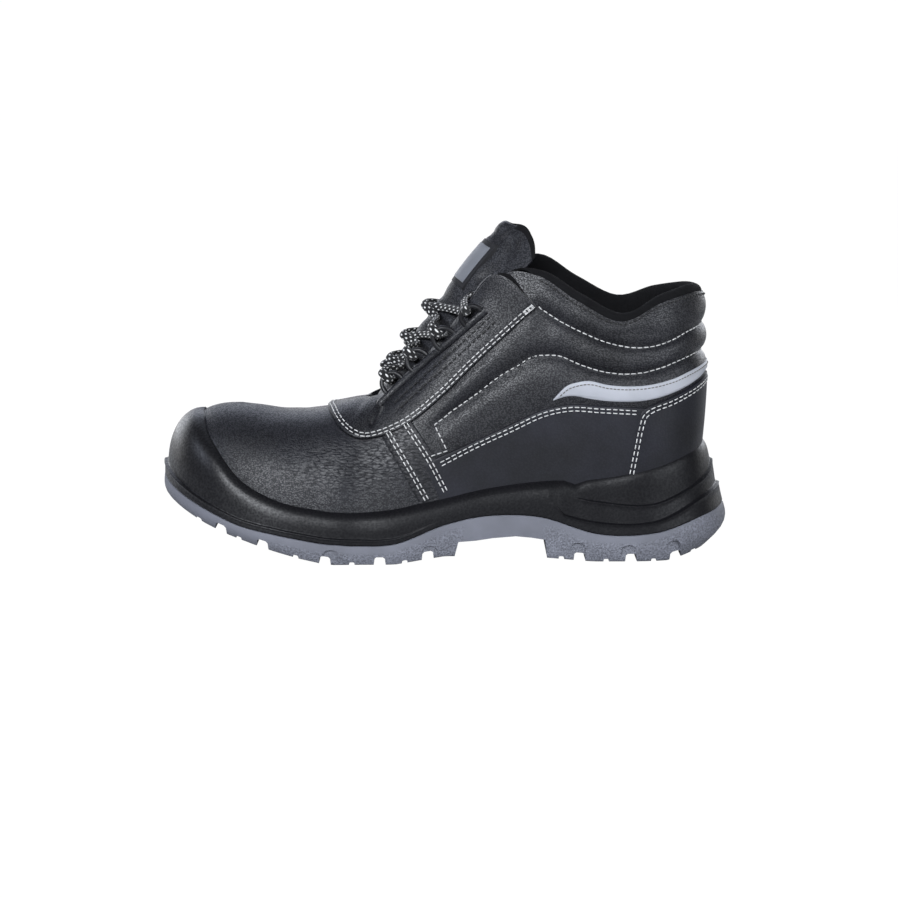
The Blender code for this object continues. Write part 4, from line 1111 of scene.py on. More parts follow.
def sole_tub(name, rows, t):
    """A closed solid whose rows run from the shoe's middle line, round its edge and back to the middle."""
    outer, inner = rows(LATERAL, t), rows(MEDIAL, t)
    for end in (0, -1):
        outer[:, end] = inner[:, end] = (outer[:, end] + inner[:, end]) / 2
    piece = sheet(name, np.concatenate([outer, inner[-2::-1]]))
    edit_all(piece, weld, outwards)
    return piece


def footbed_rows(side, t):
    """Rows of the footbed, from the middle underneath to the middle on top."""
    out = outward(side, t)
    foot = foot_point(side, t)
    edge_line = foot - out * (WALL + 0.4)
    lifts = ((0.2, 0.0), (0.2, 0.0), (INSOLE * 0.6, 0.0), (INSOLE * 0.95, 0.8), (INSOLE, 2.2), (INSOLE, 9.0),
             (INSOLE, 9.0))
    return np.stack([edge_line - out * draw + np.array([0, 0, lift]) for lift, draw in lifts], 1)


# The midsole: its notch, the range in x over which its ribs fade in or out, its overlap under the foot
NOTCH_X, NOTCH_HALF, NOTCH_DEEP = -68.5, 6.5, 2.2
HIGH_RIB_END, LOW_RIB_END, LOW_RIB_START = (-74, -67), (-61, -56), (-20, 5)
LOW_RIB_RISE, LOW_RIB_UP, LOW_RIB_DOWN = 4.5, (-63, -57), (-52, -36)
UPRIGHT_FROM, LIP_STAND, OVERLAP, SOLE_GAP = (-85, -55), 2.6, 12, 0.4
BUMPER_FROM, DULL = (72, 100), 0.38


def cup_edge(side, t):
    """The height of the midsole's upper edge, with its notch before the heel."""
    cup = column(SECTIONS, "cup", t)
    x = skin(side, t, level(side, t, cup))[..., 0]
    return cup - NOTCH_DEEP * np.clip(1 - np.abs(x - NOTCH_X) / NOTCH_HALF, 0, 1)


def shell(side, t, z, stand):
    """Points at heights z that stand out of the upper, or out of the insole edge below the insole."""
    at = np.broadcast_to(t[:, None], z.shape)
    foot, out = foot_point(side, at), outward(side, at)
    v = level(side, at, z)
    share = ease(0.0, 7.0, z - foot[..., 2])[..., None]
    way = unit(normal(side, at, v) * share + out * (1 - share))
    base = skin(side, at, v)
    base[..., 2] = np.minimum(base[..., 2], z)
    below = z < foot[..., 2]
    base[..., 2] = np.where(below, z, base[..., 2])
    return base + way * stand[..., None]


# Depths of the close rows at the midsole's lip, below its ribs and at its foot
LIP = np.array([-0.3, -0.1, 0.2, 0.6, 1.1, 1.8, 2.7, 3.8])
LEDGE = np.array([-0.9, -0.6, -0.35, -0.15, 0.05, 0.25, 0.5, 0.8, 1.2])
SEAM_ROUND = np.array([-0.8, -0.5, -0.25, -0.08, 0.0])


def side_heights(cup, high, low, seam):
    """Heights of the rows down the black sole's side, close together at its lip, its ribs and its foot."""
    def between(start, end, count):
        mix = np.linspace(0, 1, count + 2)[None, 1:-1]
        return start[:, None] * (1 - mix) + end[:, None] * mix

    return np.concatenate([cup[:, None] - LIP, between(cup - 3.8, high + 0.9, 4), high[:, None] - LEDGE,
                           between(high - 1.2, low + 0.9, 4), low[:, None] - LEDGE,
                           between(low - 1.2, seam + 0.8, 3), seam[:, None] - SEAM_ROUND], 1)


def ledge(below):
    """The shape of a rib by the depth below its line: a step out with a small bead on it."""
    return ease(-0.4, 0.4, below) + 0.3 * np.exp(-((below - 0.6) / 0.4) ** 2)


def midsole_rows(side, t):
    """Rows of the black sole, from the middle over its hollow and ribbed side to the middle underneath."""
    row = {name: column(SIDES, name, t) for name in Side._fields}
    cup, foot, out = cup_edge(side, t), foot_point(side, t), outward(side, t)
    v_cup = level(side, t, cup)
    hollow = [foot - out * draw - [0, 0, SOLE_GAP] for draw in (OVERLAP, OVERLAP, SOLE_GAP)]
    for share in (0.25, 0.5, 0.75, 0.97):
        v = v_cup * share
        hollow.append(skin(side, t, v) - normal(side, t, v) * 0.6)
    x = skin(side, t, v_cup)[:, 0]
    one = row["step_high"] * (1 - ease(*HIGH_RIB_END, x))
    two = row["step_low"] * (1 - ease(*LOW_RIB_END, x) + ease(*LOW_RIB_START, x))
    high, seam = row["rib_high"], row["seam"]
    low = row["rib_low"] + LOW_RIB_RISE * ease(*LOW_RIB_UP, x) * (1 - ease(*LOW_RIB_DOWN, x))
    z = side_heights(cup, high, low, seam)
    below = cup[:, None] - z
    reach = (row["overhang"] - one - two)[:, None]
    sloping = np.clip(below / (cup - seam)[:, None], 0, 1) ** 0.8
    upright = 1 - np.exp(-np.maximum(below, 0) / 4.5)
    face = LIP_STAND + (reach - LIP_STAND) * (sloping + (upright - sloping) * ease(*UPRIGHT_FROM, x)[:, None])
    off = face * (0.35 + 0.65 * (1 - np.exp(-np.maximum(below, 0) / 1.6)))
    off = off - 1.4 * np.exp(-((below + 0.3) / 0.12) ** 2)
    off += one[:, None] * ledge(high[:, None] - z) + two[:, None] * ledge(low[:, None] - z)
    off -= 0.5 * np.exp(-((z - seam[:, None]) / 0.25) ** 2)
    under = foot + out * (row["overhang"] - OVERLAP)[:, None]
    under[:, 2] = seam
    return np.concatenate([np.stack(hollow, 1), shell(side, t, z, off), under[:, None], under[:, None]], 1)


class SHOE_OT_midsole(ShoeOperator, Operator):
    """Makes the black sole with its toe bumper and ribbed heel cup"""

    bl_idname = "shoe.midsole"
    bl_label = "Midsole"

    def build(self):
        piece = sole_tub("black_moulding", midsole_rows, stations(10))
        material = moulded_finish("midsole_rubber", colours().midsole, 0.0011, 0.00008, (0.45, 0.38),
                                  gloss=(0.35, 1.0), Specular_IOR_Level=0.12, Coat_Roughness=0.36)
        mark(piece, "polish", DULL + (1 - DULL) * ease(*BUMPER_FROM, vertex_places(piece)[:, 0]))
        dress(piece, material, "black_sole", "midsole", angle=60)


def outsole_rows(side, t):
    """Rows of the grey sole, from the middle on top round its side to the middle of the tread."""
    row = {name: column(SIDES, name, t) for name in Side._fields}
    foot, out = foot_point(side, t), outward(side, t)
    top = row["seam"] - 0.05
    edge_line = foot + out * (row["overhang"] - row["tuck"])[:, None]
    low = tread_height(edge_line[:, 0])
    chain = []
    for share in np.concatenate([[0.0, 0.0], [0.0, 0.03], np.linspace(0.1, 0.9, 7), [0.965, 1.0]]):
        round_top = 0.5 if share == 0.0 else 0.0
        round_low = 0.6 if share == 1.0 else 0.0
        stand = (row["overhang"] + row["belly"] * np.sin(np.pi * share) - row["tuck"] * share ** 3
                 - round_top - round_low)
        point = foot + out * stand[:, None]
        point[:, 2] = top + (low - top) * share
        chain.append(point)
    chain[1] = chain[1] - out * 8
    chain[0] = chain[1].copy()
    for draw in (3.0, 8.0):
        point = chain[-1] - out * draw
        point[:, 2] = tread_height(point[:, 0])
        chain.append(point)
    return np.stack(chain, 1)


def solid(name, points, faces):
    """A closed mesh from points in millimetres, for cutting."""
    mesh = bpy.data.meshes.new(name)
    mesh.from_pydata((np.asarray(points, float) * MM).tolist(), [], faces)
    made = bpy.data.objects.new(name, mesh)
    bpy.context.scene.collection.objects.link(made)
    edit_all(made, outwards)
    return made


def loft(rings):
    """Points and faces of a closed solid through rings of equal counts."""
    rings = [np.asarray(ring, float) for ring in rings]
    count, last = len(rings[0]), len(rings) - 1
    faces = [tuple(range(count)), tuple(range((last + 1) * count - 1, last * count - 1, -1))]
    for start in range(0, last * count, count):
        faces += [(start + k, start + k + count, start + (k + 1) % count + count, start + (k + 1) % count)
                  for k in range(count)]
    return np.concatenate(rings), faces


def prism(outline, start, way):
    """Points and faces of an outline carried along a way."""
    outline = np.asarray(outline, float) + start
    return loft([outline, outline + way])


def joined(shapes):
    """Points and faces of several separate shapes as one mesh."""
    points, faces = [], []
    for more, more_faces in shapes:
        faces += [tuple(v + len(points) for v in face) for face in more_faces]
        points += list(more)
    return points, faces


def groove(x, side, width, deep, reach):
    """One half of a groove across the tread: straight in from the edge at x, then slanting back."""
    floor = float(tread_height(x))
    slope = float(tread_height(x + 3) - tread_height(x - 3)) / 6
    half, slant = width / 2, math.tan(math.radians(GROOVE_SLANT))
    section = [(-half - 1.0, -6), (half + 1.0, -6), (half, deep * 0.8), (half * 0.6, deep),
               (-half * 0.6, deep), (-half, deep * 0.8)]
    rings = []
    for y in (reach, max(GROOVE_BEND, reach + 1.0), GROOVE_END):
        back = max(GROOVE_BEND - y, 0.0) * slant
        rings.append([(x + a - back, side * y, floor + up + (a - back) * slope) for a, up in section])
    return loft(rings)


# Shallow cuts between the grooves, and recesses in the sole's side as (x, z)
SIPES = [129, 107.5, 77.7, 48.5, 21, -61, -84.5, -109.5, -131]
SIPE_WIDTH, SIPE_DEPTH, SIPE_REACH = 2.6, 1.5, 10.0
POCKETS = [(8, 7.0), (59.5, 5.4), (-69.8, 7.4), (-96.6, 6.2), (-119.8, 8.2)]
POCKET_HALF, POCKET_ARCH, POCKET_FOOT, POCKET_DEEP = 4.0, 2.8, -12.0, 0.9
PLAIN_ARCH, PLAIN_TOE = (-53, -50, -11, -8), (86, 98)


def pocket(x, z, side):
    """An arched recess in the sole's side over a groove."""
    t = np.linspace(0, TOE_TIP, 600)
    row = {name: column(SIDES, name, t) for name in ("overhang", "belly")}
    line = foot_point(side, t) + outward(side, t) * row["overhang"][:, None]
    k = int(np.argmin(np.abs(line[:, 0] - x) + 1000 * (np.abs(line[:, 1]) < 15)))
    out = outward(side, t[k:k + 1])[0]
    along = np.array([out[1], -out[0], 0.0])
    centre = np.array([line[k, 0], line[k, 1], z])
    turn = np.linspace(0, np.pi, 14)
    wide = np.concatenate([[POCKET_HALF], POCKET_HALF * np.cos(turn), [-POCKET_HALF]])
    high = np.concatenate([[POCKET_FOOT], POCKET_ARCH * np.sin(turn), [POCKET_FOOT]])
    outline = centre + along * wide[:, None] + np.array([0, 0, 1.0]) * high[:, None]
    return prism(outline, -out * POCKET_DEEP, out * 8)


class SHOE_OT_outsole(ShoeOperator, Operator):
    """Makes the grey sole with its arch, lugs and fine tread"""

    bl_idname = "shoe.outsole"
    bl_label = "Outsole"

    def build(self):
        piece = sole_tub("grey_moulding", outsole_rows, stations(8))
        roof = [(ARCH_FOOT[0], -80, -8), *((x, -80, z) for x, z in ARCH), (ARCH_FOOT[1], -80, -8)]
        cutters = [solid("arch_cutter", *prism(roof, np.zeros(3), (0, 160, 0)))]
        for side, word in SIDES_BOTH:
            main = [groove(x, side, GROOVE_WIDTH, GROOVE_DEPTH, -0.7) for x in GROOVES]
            cutters.append(solid(f"groove_cutter_{word}", *joined(main)))
            sipes = [groove(x, side, SIPE_WIDTH, SIPE_DEPTH, SIPE_REACH) for x in SIPES]
            cutters.append(solid(f"sipe_cutter_{word}", *joined(sipes)))
            cutters.append(solid(f"pocket_cutter_{word}", *joined([pocket(x, z, side) for x, z in POCKETS])))
        for tool in cutters:
            apply_modifier(piece, "BOOLEAN", object=tool, operation="DIFFERENCE", solver="EXACT")
            bpy.data.objects.remove(tool, do_unlink=True)
        x, _, z = vertex_places(piece).T
        t = np.linspace(0, TOE_TIP, 200)
        seam = np.interp(x, foot_point(LATERAL, t)[:, 0], column(SIDES, "seam", t))
        arch = ease(*PLAIN_ARCH[:2], x) * (1 - ease(*PLAIN_ARCH[2:], x))
        mark(piece, "lugs", ease(3.5, 5.0, seam - z) * (1 - np.maximum(arch, ease(*PLAIN_TOE, x))))
        material = moulded_finish("outsole_rubber", colours().outsole, 0.0009, 0.00025, (0.75, 0.6),
                                  mask="lugs")
        dress(piece, material, "grey_sole", "outsole", angle=35)


def cup_line(side, start, end, count):
    """Sections and levels along the midsole's edge, a little below it, between two sections."""
    t = np.linspace(start, end, count)
    return np.stack([t, level(side, t, column(SECTIONS, "cup", t) - 3.0)], -1)


def round_the_heel(low, high):
    """Two halves of a panel, from the outer side round the heel to the inner side."""
    return [(LATERAL, low(LATERAL), high(LATERAL)), (MEDIAL, low(MEDIAL)[::-1], high(MEDIAL)[::-1])]


def open_fold(side):
    """Points and normals of a dark sheet along the free end of a facing: painted shade in the gap behind it.
    """
    share = np.linspace(0.3, 1.0, 30)
    ends = edge(side, FACING_EDGE, np.zeros(1)), np.array([[FACING_END, 1.0]])
    at = ends[0] * (1 - share[:, None]) + ends[1] * share[:, None]
    line, out = leather(side, at[:, 0], at[:, 1]), normal(side, at[:, 0], at[:, 1])
    away = unit(np.cross(out, np.gradient(line, axis=0)))
    away = away * np.sign(away @ np.array([-1.0, 0.0, 0.6]))[:, None]
    reach = 0.3 + 1.9 * ease(0.3, 0.75, share)[:, None, None]
    aside = np.linspace(-1.0, 1.0, 5)[None, :, None] * reach
    points = line[:, None] + away[:, None] * aside + out[:, None] * 0.9
    return points, np.repeat(out[:, None], 5, 1)


# How the vamp bands and the facing's free ends stand out, and where the facing's edge is painted lighter as a
# highlight
BAND_LIFT, BAND_SLOPE = 0.75, 8.0
FLAP_LIFT, FLAP_EDGE = 4.5, 0.8
HIGHLIGHT_END, HIGHLIGHT_CORNER = 0.0034, 0.045


class SHOE_OT_panels(ShoeOperator, Operator):
    """Makes the leather panels that are sewn on the upper"""

    bl_idname = "shoe.panels"
    bl_label = "Sewn panels"

    def build(self):
        cut = mm("edge")
        share = np.linspace(0, 1, 90)
        for side, word in SIDES_BOTH:
            low = cup_line(side, *locate(side, np.array([2.0, -106.0]), np.array([29.0, 46.0])), 90)
            piece = sewn_panel(f"quarter_leather_{word}", [(side, low, edge(side, QUARTER_TOP, share))],
                               mm("quarter"), (0, cut, 0, 0), 16)
            dress(piece, black_leather("smooth"), "leather", f"quarter_panel_{word}")
            rear, front = (edge(side, rows, np.linspace(0, 1, 50)) for rows in (BAND_REAR, BAND_FRONT))
            piece = sewn_panel(f"band_leather_{word}", [(side, rear, front)], mm("panel") * BAND_LIFT,
                               (cut, BAND_SLOPE, 0, 0), 14)
            dress(piece, black_leather("band"), "leather", f"vamp_band_{word}")
        halves = []
        share = np.linspace(0, 1, 150)
        for side, turn in ((LATERAL, 1), (MEDIAL, -1)):
            outer = edge(side, FACING_EDGE, share)
            outer[-1] = outer[-1, 0], 1.0
            inner = np.stack([FACING_END + (THROAT_FRONT - FACING_END) * share, np.ones_like(share)], -1)
            halves.append((side, outer[::turn], inner[::turn]))
        piece = sewn_panel("facing_leather", halves, mm("facing"), (cut, cut, FLAP_EDGE, FLAP_EDGE), 38,
                           flap=FLAP_LIFT)
        dress(piece, black_leather("facing"), "leather", "facing_outer", "facing_inner")
        # A lighter leather on the faces at the facing's ends and high corners: a painted highlight along its
        # cut edge
        edge_highlight = leather_finish("cut_leather", colours().cut, sizes().fine_grain, 0.0002, (0.7, 0.6), UPPER_WARP)
        piece.data.materials.append(edge_highlight)
        places = piece.data.uv_layers[0].data
        for polygon in piece.data.polygons:
            u, v = np.mean([places[k].uv for k in polygon.loop_indices], 0)
            end = min(u, 1 - u)
            polygon.material_index = int(end < HIGHLIGHT_END or (v > 0.9 and end < HIGHLIGHT_CORNER))
        # A dark sheet of lining cloth along each facing's free end: painted shade in the gap behind it
        for side, word in SIDES_BOTH:
            points, out = open_fold(side)
            piece = sheet(f"facing_fold_{word}", points, out)
            wall(piece, 0.9)
            dress(piece, lining_cloth(), "lining")
        share = np.linspace(0, 1, 80)
        front = float(locate(LATERAL, np.array([-95.2]), np.array([43.0]))[0])
        halves = round_the_heel(lambda side: cup_line(side, front, 0.0, 80),
                                lambda side: edge(side, COUNTER_TOP, share))
        piece = sewn_panel("counter_leather", halves, mm("panel"), (0, cut, cut, cut), 18)
        dress(piece, black_leather("smooth"), "leather", "heel_counter")


class SHOE_OT_strip(ShoeOperator, Operator):
    """Makes the reflective strip round the heel"""

    bl_idname = "shoe.strip"
    bl_label = "Reflective strip"

    def build(self):
        share = np.linspace(0, 1, 110)
        halves = round_the_heel(lambda side: edge(side, STRIP_LOW, share),
                                lambda side: edge(side, STRIP_TOP, share))
        cut = mm("strip")
        piece = sewn_panel("reflective_tape", halves, cut, (cut, cut, cut, cut), 8, 0.9)
        dress(piece, strip_finish("reflective_tape", colours().strip), "reflective", "reflective_strip")


def fold(name, s):
    """A column of the tongue's table at s along it."""
    return smooth(np.linspace(0, 1, len(TONGUE)), [getattr(row, name) for row in TONGUE], s)


def tongue_face(s, w):
    """Points and normals of the tongue's front at s along it and w across it, from -1 to 1."""
    s, w = np.broadcast_arrays(np.asarray(s, float), np.asarray(w, float))
    ahead, behind = np.minimum(s + 0.01, 1), np.maximum(s - 0.01, 0)
    dx, dz = fold("x", ahead) - fold("x", behind), fold("z", ahead) - fold("z", behind)
    front = unit(np.stack([dz, 0 * dx, -dx], -1))
    half, drop = fold("half", s), fold("drop", s)
    slope = drop * TONGUE_POWER * np.abs(w) ** (TONGUE_POWER - 1) * np.sign(w) / half
    face = front.copy()
    face[..., 1] += slope
    point = np.stack([fold("x", s), half * w, fold("z", s)], -1)
    point = point - front * (drop * np.abs(w) ** TONGUE_POWER)[..., None]
    corner = ease(0.8, 1.0, s) * height(TONGUE_END, np.abs(w))
    return point + unit(np.stack([dx, 0 * dx, dz], -1)) * corner[..., None], unit(face)


# Soft troughs in the tongue, each from (s, w) to (s, w), with its width and depth in millimetres
TONGUE_SPAN = np.array([130.0, 26.0])
TROUGHS = [
    (0.952, -0.9, 0.945, 0.9, 1.6, 0.9),
    (0.97, 0.30, 1.02, 0.45, 3.0, 1.6),
    (0.84, 0.60, 0.90, 0.86, 2.2, 1.4),
    (0.99, 0.55, 0.90, 0.72, 3.0, 1.5),
    (0.90, 0.45, 0.84, 0.80, 3.5, 1.2),
    (0.98, -0.35, 0.88, -0.6, 3.0, 1.4),
    (0.78, 0.50, 0.70, 0.85, 3.5, 1.0),
    (0.74, -0.8, 0.735, 0.8, 2.2, 0.8),
    (0.66, -0.5, 0.64, 0.6, 2.5, 0.8),
    (0.57, -0.6, 0.55, 0.5, 2.5, 0.7),
]


def tongue_relief(s, w):
    """How deep the tongue's front is drawn in."""
    rows = np.array(TROUGHS) * np.concatenate([TONGUE_SPAN, TONGUE_SPAN, [1.0, 1.0]])
    return drawn_in(np.stack(np.broadcast_arrays(s, w), -1) * TONGUE_SPAN, rows)


# Where the tongue's ends begin to round off, its points across, the label's rounded edge
TONGUE_ROUND, TONGUE_WIDE = (0.02, 0.975), 49
LABEL_EDGE = 1.2


class SHOE_OT_tongue(ShoeOperator, Operator):
    """Makes the padded tongue and its bare label"""

    bl_idname = "shoe.tongue"
    bl_label = "Tongue and label"

    def build(self):
        turn = np.linspace(0, np.pi / 2, 8)
        low, high = TONGUE_ROUND
        s = np.concatenate([low - low * np.sin(turn[::-1]), np.linspace(low, high, 90)[1:-1],
                            high + (1 - high) * np.sin(turn)])[:, None]
        full = np.concatenate([np.cos(turn[::-1]), np.ones(88), np.cos(turn)])[:, None]
        across = np.linspace(-1, 1, TONGUE_WIDE)
        w = np.concatenate([across, across[::-1], across[:1]])[None]
        ahead = (np.arange(w.size) // TONGUE_WIDE != 1)[None]
        point, face = tongue_face(s, w)
        face[..., 1] *= 1 - np.where(ahead, 0, full) * (1 - ease(0, 0.6, np.abs(w)))
        edge_share = 1 - np.abs(w) ** 4
        padding = TONGUE_EDGE + (fold("thick", s) - TONGUE_EDGE) * edge_share
        thin = 0.6 * np.abs(w) ** 6
        lift = np.where(ahead, -tongue_relief(s, w) * edge_share - thin, -padding + thin)
        middle = -padding / 2
        piece = sheet("padded_tongue", point + face * (middle + (lift - middle) * full)[..., None])
        edit_all(piece, weld, outwards)
        dress(piece, black_leather("tongue"), "leather", "tongue", angle=60)
        piece.data.materials.append(lining_cloth())
        places = piece.data.uv_layers[0].data
        for polygon in piece.data.polygons:
            row = min(places[k].uv.y for k in polygon.loop_indices) * (w.shape[1] - 1)
            far = abs(row / (TONGUE_WIDE // 2) - 1)
            top = max(places[k].uv.x for k in polygon.loop_indices) > 0.955
            polygon.material_index = int(row > TONGUE_WIDE - 1 or (top and far > 0.4))
        frame_finish = moulded_finish("label_frame", colours().loops, 0.0004, 0.00004, (0.5, 0.6))
        for name, span, wide, lift, material in (
                ("label_frame", (0.782, 0.930), 0.47, 0.5, frame_finish),
                ("label_patch", (0.796, 0.916), 0.40, 0.8, strip_finish("label_patch", colours().patch))):
            along = np.linspace(*span, 34)[:, None]
            across = np.linspace(-wide, wide, 34)[None]
            point, face = tongue_face(along, across)
            up, aside = run(point, 0), run(point, 1)
            near = np.min([up, up[-1:] - up, aside, aside[:, -1:] - aside], 0)
            stand = rounded(near, LABEL_EDGE) * (lift + LABEL_EDGE) - LABEL_EDGE
            piece = sheet(name, point + face * stand[..., None], face)
            wall(piece, 1.0)
            dress(piece, material, "reflective", *(["tongue_label"] if name == "label_patch" else []))


def on_facing(side, rows, lift):
    """Places over the upper, with their directions along the throat, inwards and out of the leather."""
    x, z = np.asarray(rows, float).T
    t = locate(side, x, z)
    v = level(side, t, z)
    place, out = leather(side, t, v), normal(side, t, v)
    along = np.array([THROAT_WAY[0], 0.0, THROAT_WAY[1]])
    along = unit(along - out * (out @ along)[:, None])
    return place + out * lift, along, np.cross(out, along) * side, out


def loop_shape(side, place):
    """A lace loop's closed middle line, its directions along the throat and of reach, and its far bar."""
    bar = mm("loop_bar") / 2
    base, along, inwards, out = (way[0] for way in on_facing(side, [place], mm("facing") + 1.0))
    reach = inwards * math.cos(LOOP_LEAN) + out * math.sin(LOOP_LEAN)
    half, far = LOOP_LENGTH / 2 - bar, LOOP_REACH - 2 * bar
    line = [base + along * half * share for share in np.linspace(-1, 1, 9)[:-1]]
    for turn in np.radians(np.linspace(0, 180, 29)[:-1]):
        line.append(base + along * half * math.cos(turn) + reach * far * math.sin(turn) ** 0.7)
    return np.array(line), along, reach, base + reach * far


class SHOE_OT_loops(ShoeOperator, Operator):
    """Makes the moulded lace loops and the folded strip that holds them"""

    bl_idname = "shoe.loops"
    bl_label = "Lace loops"

    def build(self):
        bar = mm("loop_bar") / 2
        plastic = moulded_finish("loop_plastic", colours().loops, 0.0005, 0.00003, (0.34, 0.44))
        for side, word in SIDES_BOTH:
            for number, place in enumerate(LOOPS):
                line, along, reach, _ = loop_shape(side, place)
                flat, name = np.tile(np.cross(along, reach), (len(line), 1)), f"loop_{word}_{number + 1}"
                piece = tube(f"moulded_{name}", line, flat, bar * 1.05, bar, 12, closed=True)
                dress(piece, plastic, "plastic", f"lace_{name}", angle=80)
            rows = line_at([(33.0, 80.0), *LOOPS, (-21.5, 131.0)], np.linspace(0, 1, 90))
            line, _, inwards, _ = on_facing(side, rows, mm("facing") + 0.3)
            piece = tube(f"loop_band_{word}", line, inwards, 2.3, 2.3, 16)
            dress(piece, black_leather("facing"), "leather", angle=80)


def turn_round(side, number):
    """The lace's points round the far bar of a loop: inside the loop, outside the bar and over it."""
    _, along, reach, bar = loop_shape(side, LOOPS[number])
    away = np.cross(along, reach) * side
    clear = (sizes().loop_bar + sizes().lace_thick) / MM / 2 + 0.2
    return [bar - reach * clear, bar + away * clear, bar + reach * clear]


def on_tongue(z, y, lift):
    """A point over the tongue where its middle is at height z."""
    rows = np.linspace(0, 1, 200)
    s = np.interp(z, fold("z", rows), rows)
    point, face = tongue_face(s, y / fold("half", s))
    return point + face * lift


def crossing(start_side, number, lift):
    """The lace from one loop over the tongue to the next loop up on the other side."""
    low, high = (LOOPS[number + k][1] + CROSS_RISE for k in (0, 1))
    middle, near = CROSSINGS[number], mm("lace_thick") / 2 + LACE_CLEAR
    return [on_tongue(low * 0.45 + middle * 0.55, start_side * 11, near + lift / 3),
            on_tongue(middle, 0.0, near + lift),
            on_tongue(high * 0.45 + middle * 0.55, -start_side * 11, near + lift / 3)]


class SHOE_OT_lace(ShoeOperator, Operator):
    """Runs the lace through its loops, from a straight bar at the lowest pair"""

    bl_idname = "shoe.lace"
    bl_label = "Lace"

    def build(self):
        thick, wide = mm("lace_thick"), mm("lace_width")
        halves = []
        for start in (LATERAL, MEDIAL):
            near, side = thick / 2 + LACE_CLEAR, start
            path = [on_tongue(LACE_START, 0.0, near), on_tongue(LACE_START - 1, start * 9, near)]
            for number in range(len(LOOPS)):
                path += turn_round(side, number)
                if number + 1 < len(LOOPS):
                    over = (number % 2 == 0) == (start == LATERAL)
                    path += crossing(side, number, thick + 0.2 if over else 0.0)
                    side = -side
            ends = [on_tongue(z, side * y, near + lift) for z, y, lift in LACE_ENDS]
            halves.append(path[:-1] + ends)
        line = line_at(np.array(halves[0][:0:-1] + halves[1]), np.linspace(0, 1, 3000))
        far = lengths(line)
        line = read_along(line, far, np.linspace(0, far[-1], LACE_POINTS))
        way = np.tile([THROAT_WAY[0], 0.0, THROAT_WAY[1]], (len(line), 1))
        piece = tube("braided_lace", line, way, wide / 2, thick / 2, 20)
        material = lace_finish("braided_lace", colours().lace, colours().fleck, FLECK_ROWS,
                               float(far[-1]) / FLECK_PITCH)
        dress(piece, material, "lace", "lace", angle=80)


# Seams

def covered():
    """What a needle meets: the leather of the upper and of its panels."""
    places, faces = [], []
    for piece in bpy.data.objects:
        if "_leather" in piece.name or piece.name == "reflective_tape":
            start = len(places)
            places += [tuple(vertex.co) for vertex in piece.data.vertices]
            faces += [tuple(v + start for v in polygon.vertices) for polygon in piece.data.polygons]
    return BVHTree.FromPolygons(places, faces)


def seam_paths():
    """Every seam on the plain leather: its side, its sections and levels, its stitches."""
    for side, _ in SIDES_BOTH:
        for seam in SEAMS:
            at = edge(side, seam.points, np.linspace(0, 1, SEAM_POINTS))
            if at[0, 0] > THROAT_FRONT:
                ridge = np.interp(SEAM_RIDGE, [row.top_x for row in SECTIONS], range(len(SECTIONS)))
                at = np.concatenate([np.linspace((ridge, 1.0), at[0], 40, endpoint=False), at])
            yield side, at, seam
        for rows, last in ((SEAM_HIGH, 4.7), (SEAM_LOW, 6.04)):
            t = np.linspace(0, last, SEAM_POINTS)
            yield side, np.stack([t, level_at(side, t, rows)], -1), Seam((0,), 1.0, "white", [])
        t = np.linspace(0, 4.9, SEAM_POINTS)
        yield side, np.stack([t, np.full(len(t), RIM_LEVEL)], -1), Seam((0,), 0.8, "black", [])


# Share of the usual width of each thread, and the form of one stitch along its length
THREADS = {"white": 1.0, "black": 1.6, "beige": 0.9}
STITCH_RISE = np.array([-0.45, 0.3, 0.42, 0.3, -0.45])
STITCH_WIDE = np.array([0.55, 0.95, 1.0, 0.95, 0.55])
STITCH_SPOTS = np.array([-0.38, -0.29, 0.0, 0.29, 0.38])
STITCH_SIDES = 6


def stitch_row(tree, line, out, shift, pitch, thread):
    """Stitches along a line: their rings of points, sewn down on what the needle meets."""
    along = unit(np.gradient(line, axis=0))
    line = line + np.cross(out, along) * shift
    far = lengths(line)
    count = max(2, int(far[-1] / pitch))
    rings = []
    for number in range(count):
        spots = (number + 0.5 + STITCH_SPOTS) * far[-1] / count
        middle, way = read_along(line, far, spots), read_along(out, far, spots[2])
        hits = [tree.ray_cast(Vector((spot + way * 9) * MM), Vector(-way)) for spot in middle]
        if any(hit[0] is None for hit in hits):
            continue
        places = np.array([hit[0] for hit in hits]) / MM
        lean = unit(np.mean([hit[1] for hit in hits], 0) + way)
        tangent = unit(places[-1] - places[0])
        lean = unit(lean - tangent * (tangent @ lean))
        wide = np.cross(lean, tangent)
        centre = places + lean * (STITCH_RISE * thread)[:, None]
        turn = np.linspace(0, 2 * np.pi, STITCH_SIDES, endpoint=False)
        ring = wide * np.cos(turn)[:, None] + lean * np.sin(turn)[:, None] * 0.8
        rings.append(centre[:, None] + ring[None] * (STITCH_WIDE * thread / 2)[:, None, None])
    return rings


def sewn(name, rings, material):
    """One mesh of many stitches."""
    piece = solid(name, *joined(loft(ring) for ring in rings))
    return dress(piece, material, "leather", angle=80)


class SHOE_OT_seams(ShoeOperator, Operator):
    """Sews the white, black and beige seams"""

    bl_idname = "shoe.seams"
    bl_label = "Seams"

    def build(self):
        tree = covered()
        gap, stitch = mm("row_gap") / 2, mm("stitch")
        sewn_rows = {thread: [] for thread in THREADS}
        for side, at, seam in seam_paths():
            line, out = leather(side, at[:, 0], at[:, 1]), normal(side, at[:, 0], at[:, 1])
            for offset in seam.offsets:
                sewn_rows[seam.thread] += stitch_row(tree, line, out, offset * gap, stitch * seam.pitch,
                                                     mm("thread") * THREADS[seam.thread])
        for thread, rows in sewn_rows.items():
            material = thread_finish(f"{thread}_thread", getattr(colours(), f"{thread}_thread"))
            sewn(f"{thread}_stitches", rows, material)


# Stage

